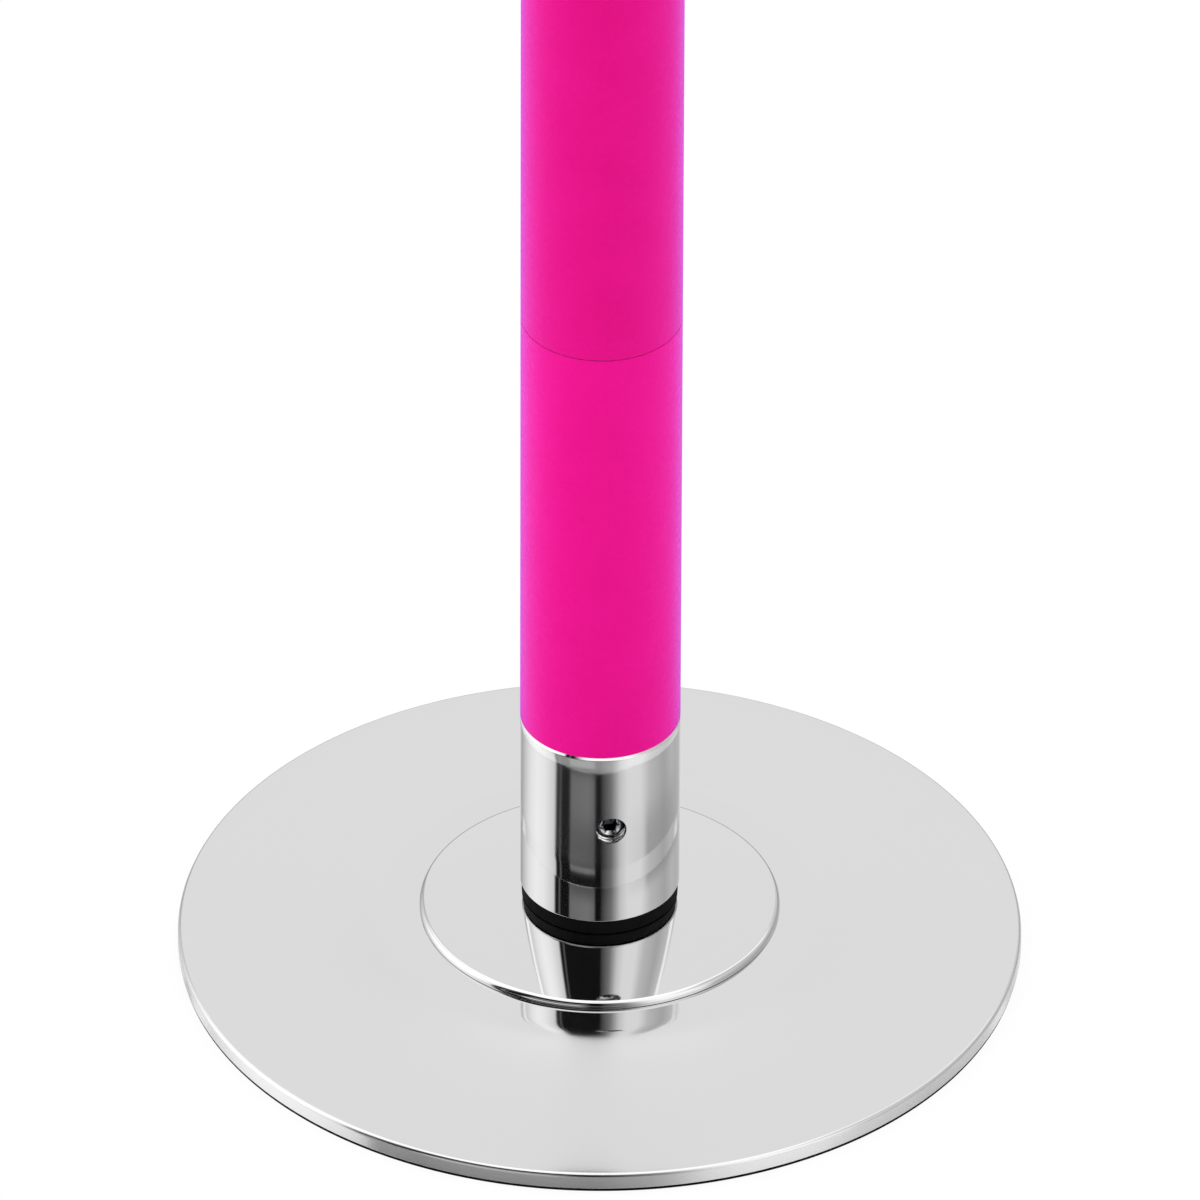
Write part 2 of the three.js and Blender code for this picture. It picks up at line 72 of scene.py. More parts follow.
# The step of the arcs at rounded corners, and how far the point beside each arc's end stands off.
ARC_STEP_DEGREES = 12
ARC_SUPPORT = 0.02

# The angles of a hexagon's six faces, and the power that softens its corners.
HEXAGON_FACES = np.arange(6) * FULL_TURN / 6 + FULL_TURN / 12
HEXAGON_SOFTNESS = 90

# A thread's flanks: how steep its wave is, and how much of it the flat crest cuts off.
FLANK_SLOPE = 2.4
FLANK_CUT = 0.7

# The lock screw's hole: its way out from the pole's axis, the way across, and its thread.
HOLE_DEGREES = 8.3
HOLE_TURN = math.radians(HOLE_DEGREES)
HOLE_START = math.radians(HOLE_DEGREES - 90)
HOLE_OUT = np.array([math.sin(HOLE_TURN), -math.cos(HOLE_TURN), 0.0])
HOLE_SIDE = np.array([math.cos(HOLE_TURN), math.sin(HOLE_TURN), 0.0])
SCREW_PITCH = 1.25

# The seat for a section's tube, and the chamfer, which both collars and the head cap have.
SEAT_RADIUS = 21.0
SEAT_DEPTH = 10.5
HEAD_CHAMFER = 1.1

WHITE = (1.0, 1.0, 1.0, 1.0)

Corners = list[tuple[float, float, float]]
Stops = tuple[tuple[float, float], ...]
Socket = bpy.types.NodeSocket

log = logging.getLogger("dance_pole")


# Surfaces


@dataclass
class Surface:
    """Points in millimetres, and the quads that join them, with faces outwards.

    Args:
        points: One row of x, y, z for each point.
        quads: One row of four point numbers for each face.
    """

    points: np.ndarray
    quads: np.ndarray

    def moved(self, matrix: Matrix) -> "Surface":
        """Turns and shifts the surface by a rigid matrix in millimetres."""
        table = np.array(matrix)
        return Surface(self.points @ table[:3, :3].T + table[:3, 3], self.quads)


def joined(surfaces: list[Surface]) -> Surface:
    """Puts several surfaces in one, with their point numbers shifted.

    Args:
        surfaces: The surfaces, in order.

    Returns:
        One surface that holds them all.
    """
    starts = np.cumsum([0] + [len(surface.points) for surface in surfaces[:-1]])
    quads = [surface.quads + start for surface, start in zip(surfaces, starts)]
    return Surface(np.vstack([surface.points for surface in surfaces]), np.vstack(quads))


def grid_quads(rows: int, columns: int, rows_close: bool, columns_close: bool) -> np.ndarray:
    """Joins each point of a grid to the next column and the next row.

    Args:
        rows: How many rows of points there are.
        columns: How many points a row has.
        rows_close: Whether the last row joins the first.
        columns_close: Whether the last column joins the first.

    Returns:
        Four point numbers for each quad. Its normal is the column step crossed with the row step.
    """
    row, column = np.indices((rows if rows_close else rows - 1, columns if columns_close else columns - 1))
    next_row, next_column = (row + 1) % rows, (column + 1) % columns
    corners = [(row, column), (row, next_column), (next_row, next_column), (next_row, column)]
    return np.stack([i * columns + j for i, j in corners], axis=-1).reshape(-1, 4)


def turn_angles(columns: int) -> np.ndarray:
    """Angles of the columns of a turned surface, evenly round one turn."""
    return np.linspace(0, FULL_TURN, columns, endpoint=False)


def round_rows(radii: np.ndarray | list[float], columns: int) -> np.ndarray:
    """One row for each radius, which is the same in every column."""
    return np.repeat(np.asarray(radii, dtype=float)[:, None], columns, axis=1)


def round_axis(radius: np.ndarray | float, angle: np.ndarray, height: np.ndarray) -> np.ndarray:
    """Points (r cos a, r sin a, z) of radii, angles and heights."""
    return np.stack(np.broadcast_arrays(radius * np.cos(angle), radius * np.sin(angle), height), axis=-1)


def turned(radii: np.ndarray, heights: np.ndarray, closed: bool = True) -> Surface:
    """Carries rows of radii round Z. A row's radius may change with the angle.

    Args:
        radii: Radius at each row and column.
        heights: Height of each row.
        closed: Whether the last row joins the first, as on a ring. Otherwise both ends lie on the axis.

    Returns:
        The surface, facing out where the rows run counter-clockwise with radius to the right and height up.
    """
    points = round_axis(radii, turn_angles(radii.shape[1]), heights[:, None])
    return Surface(points.reshape(-1, 3), grid_quads(*radii.shape, closed, True))


def revolved(outline: np.ndarray, columns: int = TURN_COLUMNS) -> Surface:
    """Revolves an outline of (radius, height) points, which closes unless it starts on the axis."""
    return turned(round_rows(outline[:, 0], columns), outline[:, 1], closed=bool(outline[0, 0] > 0))


def plain(radii: np.ndarray, heights: np.ndarray) -> Corners:
    """Corners without rounding, from arrays of radii and heights."""
    return [(r, z, 0.0) for r, z in zip(radii, heights)]


def rounded(corners: Corners) -> np.ndarray:
    """Closed outline through corners of (radius, height, corner radius), with an arc at each rounded one.

    An arc's points are its centre plus the sine-weighted mean of the arms to its two ends. A neighbour just
    beside each end keeps the shading of the straight stretches flat.

    Args:
        corners: The corners in order, counter-clockwise with radius to the right and height up.

    Returns:
        The outline's points, one row of (radius, height) each.
    """
    places = np.array([corner[:2] for corner in corners], dtype=float)
    runs = []
    for index, (_, _, radius) in enumerate(corners):
        here = places[index]
        if radius == 0:
            runs.append(here[None])
            continue
        to_last = places[index - 1] - here
        to_next = places[(index + 1) % len(corners)] - here
        to_last /= np.linalg.norm(to_last)
        to_next /= np.linalg.norm(to_next)
        half = math.acos(np.clip(to_last @ to_next, -1, 1)) / 2
        reach = radius / math.tan(half)
        middle = to_last + to_next
        centre = here + middle / np.linalg.norm(middle) * radius / math.sin(half)
        first, last = here + to_last * reach - centre, here + to_next * reach - centre
        sweep = math.pi - 2 * half
        steps = max(2, math.ceil(math.degrees(sweep) / ARC_STEP_DEGREES))
        share = np.linspace(0, 1, steps + 1)[:, None]
        arms = np.sin((1 - share) * sweep) * first + np.sin(share * sweep) * last
        beside = here + to_last * (reach + ARC_SUPPORT), here + to_next * (reach + ARC_SUPPORT)
        runs.append(np.vstack([beside[0], centre + arms / math.sin(sweep), beside[1]]))
    return np.vstack(runs)


def ring(bore: float, radius: float, foot: float, head: float, edge: float) -> Surface:
    """A plain ring between two radii and two heights, with its four edges rounded."""
    corners = [(bore, foot), (radius, foot), (radius, head), (bore, head)]
    return revolved(rounded([(*corner, edge) for corner in corners]))


def hexagon_radius(angle: np.ndarray, half_flats: float) -> np.ndarray:
    """Radius of a softened hexagon: half its flats' width over the power mean of the faces' cosines."""
    cosines = np.clip(np.cos(angle[..., None] - HEXAGON_FACES), 0, None)
    return half_flats / (cosines**HEXAGON_SOFTNESS).sum(axis=-1) ** (1 / HEXAGON_SOFTNESS)


def keyed_radius(angle: np.ndarray, radius: float, half_flats: float) -> np.ndarray:
    """Radius of a circle cut by two flats: the least of its own and half the flats' width over |sin a|."""
    return np.minimum(radius, half_flats / np.maximum(np.abs(np.sin(angle)), TINY))


def thread_wave(angle: np.ndarray, height: np.ndarray, pitch: float) -> np.ndarray:
    """Share of a thread's depth, 0 on crests and 1 in roots: a trapezoid wave, one pitch up each turn."""
    phase = (height / pitch - angle / FULL_TURN) % 1.0
    return np.clip(FLANK_SLOPE * np.abs(2 * phase - 1) - FLANK_CUT, 0, 1)


def heights_between(foot: float, head: float, step: float) -> np.ndarray:
    """Even heights from foot to head, no further apart than step."""
    return np.linspace(foot, head, max(2, math.ceil(abs(head - foot) / step) + 1))


# Materials


def linear(colour: str) -> tuple[float, float, float, float]:
    """Turns an sRGB colour, written as # and six hex digits, to linear colour with an alpha of one."""
    parts = [int(colour[i : i + 2], 16) / 255 for i in (1, 3, 5)]
    return tuple(c / 12.92 if c <= 0.04045 else ((c + 0.055) / 1.055) ** 2.4 for c in parts) + (1.0,)


def per_metre(size: float) -> float:
    """Texture scale at which a pattern's cell is about size millimetres wide."""
    return 1 / (size * MM)


def add_node(
    tree: bpy.types.NodeTree, kind: str, inputs: dict | None = None, **settings
) -> bpy.types.bpy_prop_collection:
    """Adds a shader node with its settings and links.

    Args:
        tree: The node tree.
        kind: The node's type, without its ShaderNode prefix.
        inputs: Input names or numbers, each with a value or with the socket to link from.
        settings: The node's own properties.

    Returns:
        The new node's outputs.
    """
    node = tree.nodes.new(f"ShaderNode{kind}")
    for key, value in settings.items():
        setattr(node, key, value)
    for key, value in (inputs or {}).items():
        if isinstance(value, Socket):
            tree.links.new(value, node.inputs[key])
        else:
            node.inputs[key].default_value = value
    return node.outputs


class Work(Enum):
    """How a piece is made, which is how its name ends."""

    TURNED = "turning"
    PRESSED = "pressing"
    MOULDED = "moulding"
    EXTRUDED = "extrusion"


class Grain(Enum):
    """Which way the fine lines of a metal's finish run."""

    ROUND_AXIS = "round the axis, stepping outwards, as on a buffed disc"
    ALONG_AXIS = "round the axis, stepping along it, as on a turned cylinder"


@dataclass(frozen=True)
class Finish:
    """What every finish has.

    Args:
        name: Common name of the material and how it was made.
        slot: The record's material slot.
        work: How a piece with this finish is made.
        colour: Body colour, or a metal's reflection colour at normal incidence, sRGB.
    """

    name: str
    slot: str
    work: Work
    colour: str

    @cache
    def material(self) -> bpy.types.Material:
        """Builds the material, once.

        Returns:
            The material.
        """
        material = bpy.data.materials.new(self.name)
        material.use_nodes = True
        tree = material.node_tree
        tree.nodes.clear()
        place = add_node(tree, "TexCoord")["Object"]
        shader = add_node(tree, "BsdfPrincipled", self.inputs(tree, place))[0]
        add_node(tree, "OutputMaterial", {"Surface": shader})
        return material


@dataclass(frozen=True)
class Metal(Finish):
    """Metal whose finish is fine lines left by buffing or turning, over a slow waviness.

    Args:
        roughness: Roughness of the clean surface.
        haze: How far the roughness rises in hazy patches.
        grain: Which way the lines run.
        line: Spacing of the lines, in millimetres.
        line_depth: Depth of the lines, in millimetres.
        ripple: Width of the waviness, in millimetres.
        ripple_depth: Depth of the waviness, in millimetres.
        satin: Roughness of a satin zone further out, or None.
        satin_from: Radius at which the satin zone starts to show.
        satin_full: Radius from which it is full.
    """

    roughness: float
    haze: float
    grain: Grain
    line: float
    line_depth: float
    ripple: float
    ripple_depth: float
    satin: float | None = None
    satin_from: float = 0.0
    satin_full: float = 0.0

    wobble: float = 9.0
    wobble_share: float = 0.15
    patch: float = 26.0
    patch_from: float = 0.45
    patch_full: float = 0.75
    line_haze: float = 0.6

    def inputs(self, tree: bpy.types.NodeTree, place: Socket) -> dict:
        """Lines are noise along one coordinate that wobbles a little, and haze is a coarse noise.

        Args:
            tree: The material's nodes.
            place: Object coordinates.

        Returns:
            The shader's inputs.
        """
        add = partial(add_node, tree)
        parts = add("SeparateXYZ", {0: place})
        flat = add("CombineXYZ", {"X": parts["X"], "Y": parts["Y"]})[0]
        radius = add("VectorMath", {0: flat}, operation="LENGTH")["Value"]
        along = radius if self.grain is Grain.ROUND_AXIS else parts["Z"]
        wobble = add("TexNoise", {"Vector": place, "Scale": per_metre(self.wobble), "Detail": 1.0})[0]
        shift = self.wobble_share * self.line * MM
        step = add("Math", {0: wobble, 1: shift, 2: along}, operation="MULTIPLY_ADD")[0]
        pattern = {"W": step, "Scale": per_metre(self.line), "Detail": 3.0, "Roughness": 0.6}
        lines = add("TexNoise", pattern, noise_dimensions="1D")[0]
        patches = add("TexNoise", {"Vector": place, "Scale": per_metre(self.patch), "Detail": 4.0})[0]
        shown = {"From Min": self.patch_from, "From Max": self.patch_full, "To Max": self.haze}
        haze = add("MapRange", {"Value": patches, **shown})[0]
        rough = add("Math", {0: lines, 1: self.haze * self.line_haze, 2: haze}, operation="MULTIPLY_ADD")[0]
        rough = add("Math", {0: rough, 1: self.roughness}, operation="ADD")[0]
        if self.satin is not None:
            zone = {"From Min": self.satin_from * MM, "From Max": self.satin_full * MM}
            zone |= {"Value": radius, "To Min": rough, "To Max": self.satin}
            rough = add("MapRange", zone, interpolation_type="SMOOTHSTEP")[0]
        ripple = add("TexNoise", {"Vector": place, "Scale": per_metre(self.ripple), "Detail": 1.5})[0]
        waves = add("Bump", {"Height": ripple, "Distance": self.ripple_depth * MM, "Strength": 1.0})[0]
        relief = {"Height": lines, "Distance": self.line_depth * MM, "Strength": 1.0, "Normal": waves}
        return {
            "Base Color": linear(self.colour),
            "Metallic": 1.0,
            "Roughness": rough,
            "Normal": add("Bump", relief)[0],
        }


@dataclass(frozen=True)
class Elastomer(Finish):
    """Moulded rubber or silicone: a soft dielectric with a fine grain and slight mottling.

    Args:
        deep_colour: The colour of the mottling.
        roughness: Roughness of the skin.
        specular: Specular level of the skin.
        grain: Width of the grain, in millimetres.
        grain_depth: Depth of the grain, in millimetres.
        sheen: Weight of the bloom that shows at a slant.
        sheen_colour: Colour of that bloom, sRGB.
    """

    deep_colour: str
    roughness: float
    specular: float
    grain: float
    grain_depth: float
    sheen: float = 0.0
    sheen_colour: str = "#FFFFFF"

    mottle: float = 18.0
    mottle_from: float = 0.35
    dust: float = 2.6
    dust_from: float = 0.3
    noise_full: float = 0.75
    dusty: float = 1.25
    refraction: float = 1.42
    sheen_roughness: float = 0.45

    def inputs(self, tree: bpy.types.NodeTree, place: Socket) -> dict:
        """Mottling and dust are two widths of noise, which shift the colour and roughen the skin.

        Args:
            tree: The material's nodes.
            place: Object coordinates.

        Returns:
            The shader's inputs.
        """
        add = partial(add_node, tree)
        mottle = add("TexNoise", {"Vector": place, "Scale": per_metre(self.mottle), "Detail": 5.0})[0]
        mottled = {"Value": mottle, "From Min": self.mottle_from, "From Max": self.noise_full}
        colours = {0: add("MapRange", mottled)[0], 6: linear(self.colour), 7: linear(self.deep_colour)}
        dust = add("TexNoise", {"Vector": place, "Scale": per_metre(self.dust), "Detail": 6.0})[0]
        skin = {"Value": dust, "From Min": self.dust_from, "From Max": self.noise_full}
        skin |= {"To Min": self.roughness, "To Max": min(1.0, self.roughness * self.dusty)}
        pattern = {"Vector": place, "Scale": per_metre(self.grain), "Detail": 3.0, "Roughness": 0.65}
        relief = {"Height": add("TexNoise", pattern)[0], "Distance": self.grain_depth * MM, "Strength": 1.0}
        return {
            "Base Color": add("Mix", colours, data_type="RGBA")[2],
            "Roughness": add("MapRange", skin)[0],
            "Normal": add("Bump", relief)[0],
            "IOR": self.refraction,
            "Specular IOR Level": self.specular,
            "Sheen Weight": self.sheen,
            "Sheen Roughness": self.sheen_roughness,
            "Sheen Tint": linear(self.sheen_colour),
        }


# Chromium electroplated over buffed steel: a neutral mirror, with a trace of the buffing under the plating.
CHROME_COLOUR = "#DADADA"
TURNED_CHROME = Metal(
    "chrome plate on turned steel", "chrome_plate", Work.TURNED, CHROME_COLOUR, 0.03, 0.03,
    Grain.ALONG_AXIS, 0.5, 0.00002, 1.6, 0.0006,
)
COVER_CHROME = Metal(
    "chrome plate on pressed cover", "chrome_plate", Work.PRESSED, CHROME_COLOUR, 0.03, 0.03,
    Grain.ROUND_AXIS, 0.5, 0.00002, 2.2, 0.0006,
)
# The plate's middle is buffed bright, and its bow a little less.
PLATE_CHROME = Metal(
    "chrome plate on pressed dish", "chrome_plate", Work.PRESSED, CHROME_COLOUR, 0.04, 0.04,
    Grain.ROUND_AXIS, 0.6, 0.00005, 4.0, 0.0004, satin=0.15, satin_from=58.0, satin_full=68.0,
)
# Zinc plated free-cutting steel as it leaves the lathe: grey, with fine feed marks.
TURNED_STEEL = Metal(
    "zinc plated turned steel", "turned_steel", Work.TURNED, "#A9ACB0", 0.3, 0.1,
    Grain.ALONG_AXIS, 0.4, 0.0006, 3.0, 0.001,
)
# Through-hardened bearing steel, ground and honed.
BEARING_STEEL = Metal(
    "ground bearing steel", "bearing_steel", Work.TURNED, "#C4C7CB", 0.12, 0.05,
    Grain.ALONG_AXIS, 0.3, 0.0001, 4.0, 0.0002,
)
# Cold rolled brass, pressed or turned, slightly dulled.
BRASS = Metal(
    "dulled brass", "brass", Work.TURNED, "#BFA15A", 0.28, 0.12, Grain.ROUND_AXIS, 0.35, 0.0003, 3.0, 0.001,
)
# Alloy steel screw, hot blackened and oiled: dark grey, with a low shine.
BLACK_OXIDE = Metal(
    "black oxide steel", "black_oxide_steel", Work.TURNED, "#54565A", 0.22, 0.12,
    Grain.ALONG_AXIS, 0.4, 0.0003, 1.2, 0.001,
)
# The same screw where the key has worn the blackening off.
BARE_STEEL = Metal(
    "bare worn steel", "black_oxide_steel", Work.TURNED, "#D2D3D6", 0.1, 0.06,
    Grain.ALONG_AXIS, 0.3, 0.0002, 1.0, 0.001,
)
# Natural rubber sheet with carbon black, moulded against a matt tool.
PAD_RUBBER = Elastomer(
    "black moulded rubber", "pad_rubber", Work.MOULDED, "#080809", "#0D0D0E", 0.65, 0.12, 0.45, 0.02,
)
# Extruded silicone tube drawn over the steel: saturated, satin, with a violet bloom at a slant.
BLOOM_COLOUR = "#C244FF"
PINK_SILICONE = Elastomer(
    "extruded pink silicone", "silicone_sleeve", Work.EXTRUDED, "#E0067E", "#DC0379",
    0.24, 0.06, 0.35, 0.0008, sheen=1.0, sheen_colour=BLOOM_COLOUR,
)
# The foot's short sleeve is cut from a slightly lighter batch.
FOOT_SILICONE = Elastomer(
    "extruded pink silicone, lighter batch", "silicone_sleeve", Work.EXTRUDED, "#E80886", "#E40581",
    0.24, 0.06, 0.35, 0.0008, sheen=1.0, sheen_colour=BLOOM_COLOUR,
)


# Pieces


def mesh_of(name: str, surface: Surface) -> bpy.types.Mesh:
    """Puts a surface into a mesh in metres, and welds its seams and poles.

    Args:
        name: The mesh's name.
        surface: The surface, in millimetres.

    Returns:
        The mesh.
    """
    mesh = bpy.data.meshes.new(name)
    mesh.vertices.add(len(surface.points))
    mesh.vertices.foreach_set("co", (surface.points * MM).astype(np.float32).ravel())
    mesh.loops.add(surface.quads.size)
    mesh.loops.foreach_set("vertex_index", surface.quads.astype(np.int32).ravel())
    mesh.polygons.add(len(surface.quads))
    mesh.polygons.foreach_set("loop_start", np.arange(0, surface.quads.size, 4, dtype=np.int32))
    mesh.update(calc_edges=True)
    welded = bmesh.new()
    welded.from_mesh(mesh)
    bmesh.ops.remove_doubles(welded, verts=welded.verts, dist=WELD_METRES)
    welded.to_mesh(mesh)
    welded.free()
    return mesh


def make_piece(
    node: str, surface: Surface, finish: Finish, body: str, seen_in_mirrors: bool = True
) -> bpy.types.Object:
    """Makes the piece that stands for a solid, dresses it and lets it ride on its body.

    Args:
        node: The solid.
        surface: The piece's surface, in millimetres.
        finish: Its finish.
        body: The body that carries it.
        seen_in_mirrors: Whether the polished pieces reflect it.

    Returns:
        The new object.
    """
    name = f"{node}_{finish.work.value}"
    mesh = mesh_of(name, surface)
    mesh.shade_smooth()
    mesh.set_sharp_from_angle(angle=math.radians(SHARP_DEGREES))
    mesh.materials.append(finish.material())
    piece = bpy.data.objects.new(name, mesh)
    bpy.context.scene.collection.objects.link(piece)
    piece.visible_glossy = seen_in_mirrors
    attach(piece, body)
    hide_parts(node)
    log.info("%s: %d faces on %s", name, len(mesh.polygons), body)
    return piece


@dataclass(frozen=True)
class Extent:
    """How far a solid reaches, in millimetres.

    Args:
        foot: Its lowest height.
        head: Its highest height.
        radius: Its reach from the axis along X.
    """

    foot: float
    head: float
    radius: float

    @property
    def middle(self) -> float:
        """Height half way up."""
        return (self.foot + self.head) / 2


def extent_of(node: str) -> Extent:
    """Reads a solid's extent from the frame."""
    low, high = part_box(node)
    return Extent(low.z / MM, high.z / MM, high.x / MM)


@dataclass(frozen=True, kw_only=True)
class EndPiece:
    """Something that both ends of the pole have. It is shaped as it stands on the floor.

    Args:
        body: Body that carries it.
        level: Height of the ceiling pad's face for the one that is turned over, or zero at the floor.
    """

    body: str
    level: float = 0.0

    def own(self, node: str) -> Extent:
        """Extent of one of the end's solids, with heights counted from its pad's face."""
        size = extent_of(node)
        return Extent(self.level - size.head, self.level - size.foot, size.radius) if self.level else size

    def settled(self, surface: Surface) -> Surface:
        """Leaves a floor-end surface as it is, and turns a ceiling-end one over about X onto its level."""
        over = Matrix.Translation((0, 0, self.level)) @ Matrix.Rotation(math.pi, 4, "X")
        return surface.moved(over) if self.level else surface

    def revolve(self, node: str, finish: Finish, columns: int, corners: Corners) -> None:
        """Makes the piece that stands for a node, by revolving an outline through rounded corners."""
        make_piece(node, self.settled(revolved(rounded(corners), columns)), finish, self.body)


@dataclass(frozen=True)
class EndFitting(EndPiece):
    """The pad, plate, cover and seal of one end of the pole, which stand still.

    Args:
        prefix: Start of the end's node names.
        pad: Node of the pad.
    """

    prefix: str
    pad: str

    pad_step: float = 2.5
    pad_foot: float = 0.95
    tread_pitch: float = 4.0
    tread_depth: float = 0.35
    tread_margin: float = 8.0
    tread_row: float = 0.4

    rim_top: float = 5.8
    wall: float = 2.2
    wall_rise: float = 0.3
    rim_edge: float = 1.2
    seat_radius: float = 61.0
    bow_power: float = 1.6
    seat_blend: float = 1.5
    plate_bore: float = 14.0

    cover_sink: float = 1.07
    cover_fall: float = 3.755
    cover_curve: float = 2.4
    cover_wall: float = 1.0
    cover_flange: float = 1.9
    cover_edge: float = 1.7
    cover_bore: float = 15.5
    bore_margin: float = 0.6

    seal_bore: float = 11.92
    seal_gap: float = 0.3
    # Painted shade: the seal's skirt and lip are black rubber widened to fill the shadowed gap under the
    # collar and to hide the bearing there.
    shade_skirt_radius: float = 22.0
    shade_skirt_sink: float = 1.2
    shade_skirt_height: float = 4.4
    shade_lip_radius: float = 17.8

    under_rows: int = 20
    under_reach: float = 4.0
    bow_rows: int = 90
    row_gap: float = 0.2
    bend_rows: int = 17
    bend_reach: float = 2.0
    flat_rows: tuple[float, ...] = (3.0, 6.0)
    cover_rows: int = 110
    cover_under_rows: int = 30

    def make_pad(self) -> None:
        """Rubber pad: a stepped disc with shallow round treads in its face.

        A tread is a raised cosine in the radius, so the face touches the floor on rings.
        """
        size = self.own(self.pad)
        inner, step = size.radius - self.pad_step, size.foot + self.pad_foot
        treads = np.arange(self.tread_margin, inner - self.tread_margin, self.tread_row)
        depth = self.tread_depth * (1 - np.cos((treads - treads[0]) / self.tread_pitch * FULL_TURN)) / 2
        self.revolve(self.pad, PAD_RUBBER, TURN_COLUMNS, [
            (0.0, size.foot, 0.0),
            *plain(treads, size.foot + depth),
            (size.radius, size.foot, 0.15),
            (size.radius, step, 0.2),
            (inner, step, 0.1),
            (inner, size.head, 0.4),
            (0.0, size.head, 0.0),
        ])

    def bow(self, radius: np.ndarray, size: Extent) -> np.ndarray:
        """Height of the dish: level to the seat, and then above the rim by a power of the way left to it.

        The share of the way done is a hyperbola through the seat's bend, so the bend is a small curve.

        Args:
            radius: The radii.
            size: The plate's extent.

        Returns:
            The height at each radius.
        """
        reach = size.radius - self.rim_edge - self.seat_radius
        done = (radius - self.seat_radius) / reach
        done = (done + np.sqrt(done**2 + (self.seat_blend / reach) ** 2)) / 2
        return self.rim_top + (size.head - self.rim_top) * np.clip(1 - done, 0, 1) ** self.bow_power

    def make_plate(self) -> None:
        """Pressed plate: a dish with a rolled edge, one wall thick, and closer rows at the seat's bend."""
        node = f"{self.prefix}_plate"
        size = self.own(node)
        foot, inner = size.foot + self.wall_rise, size.radius - self.wall
        outwards = np.linspace(self.seat_radius - self.under_reach, inner, self.under_rows)
        bend, flat = self.seat_radius + self.bend_reach, self.seat_radius - self.bend_reach
        inwards = np.concatenate([
            np.linspace(size.radius - self.rim_edge - self.row_gap, bend + self.row_gap, self.bow_rows),
            np.linspace(bend, flat, self.bend_rows),
            self.seat_radius - np.array(self.flat_rows),
        ])
        self.revolve(node, PLATE_CHROME, PRESSED_COLUMNS, [
            (self.plate_bore, size.head - self.wall, 0.3),
            *plain(outwards, self.bow(outwards, size) - self.wall),
            (inner, foot, 0.2),
            (size.radius, foot, 0.25),
            (size.radius, self.bow(np.array([size.radius]), size)[0], self.rim_edge),
            *plain(inwards, self.bow(inwards, size)),
            (self.plate_bore, size.head, 0.3),
        ])

    def fall(self, radius: np.ndarray | float, size: Extent) -> np.ndarray | float:
        """How far the cover has fallen at a radius: by a power of its share of the cover's radius."""
        return self.cover_fall * (radius / size.radius) ** self.cover_curve

    def make_cover(self) -> None:
        """Pressed centre cover, which falls towards a round edge and stands on the plate."""
        node = f"{self.prefix}_cover"
        size = self.own(node)
        head, bore = size.head - self.cover_sink, self.cover_bore
        apex, inner = head + self.fall(bore, size), size.radius - self.cover_flange
        outwards = np.linspace(bore + self.bore_margin, inner, self.cover_under_rows)
        inwards = np.linspace(size.radius - self.cover_edge, bore + self.bore_margin, self.cover_rows)
        self.revolve(node, COVER_CHROME, PRESSED_COLUMNS, [
            (bore, head - self.cover_wall, 0.2),
            *plain(outwards, apex - self.fall(outwards, size) - self.cover_wall),
            (inner, size.foot, 0.0),
            (size.radius, size.foot, 0.1),
            (size.radius, apex - self.cover_fall, self.cover_edge),
            *plain(inwards, apex - self.fall(inwards, size)),
            (bore, head, 0.3),
        ])

    def make_seal(self) -> None:
        """Dust seal: a black rubber ring that grips the neck. Its lip over the bearing and its wide skirt in
        the gap under the collar are painted shade: black rubber that fills that gap where it lies in shadow.
        """
        node = f"{self.prefix}_dust_seal"
        size = self.own(node)
        shank = self.cover_bore - self.seal_gap
        shade_skirt_foot = self.own(f"{self.prefix}_cover").head - self.shade_skirt_sink
        shade_skirt_head = shade_skirt_foot + self.shade_skirt_height
        self.revolve(node, PAD_RUBBER, TURN_COLUMNS, [
            (self.seal_bore, size.foot, 0.3),
            (shank, size.foot, 0.4),
            (shank, shade_skirt_foot, 0.2),
            (self.shade_skirt_radius, shade_skirt_foot, 0.35),
            (self.shade_skirt_radius, shade_skirt_head, 0.8),
            (self.shade_lip_radius, shade_skirt_head, 0.2),
            (self.shade_lip_radius, size.head, 0.25),
            (self.seal_bore, size.head, 0.3),
        ])

    def make(self) -> None:
        """Makes every piece of the end."""
        self.make_pad()
        self.make_plate()
        self.make_cover()
        self.make_seal()


# Collars


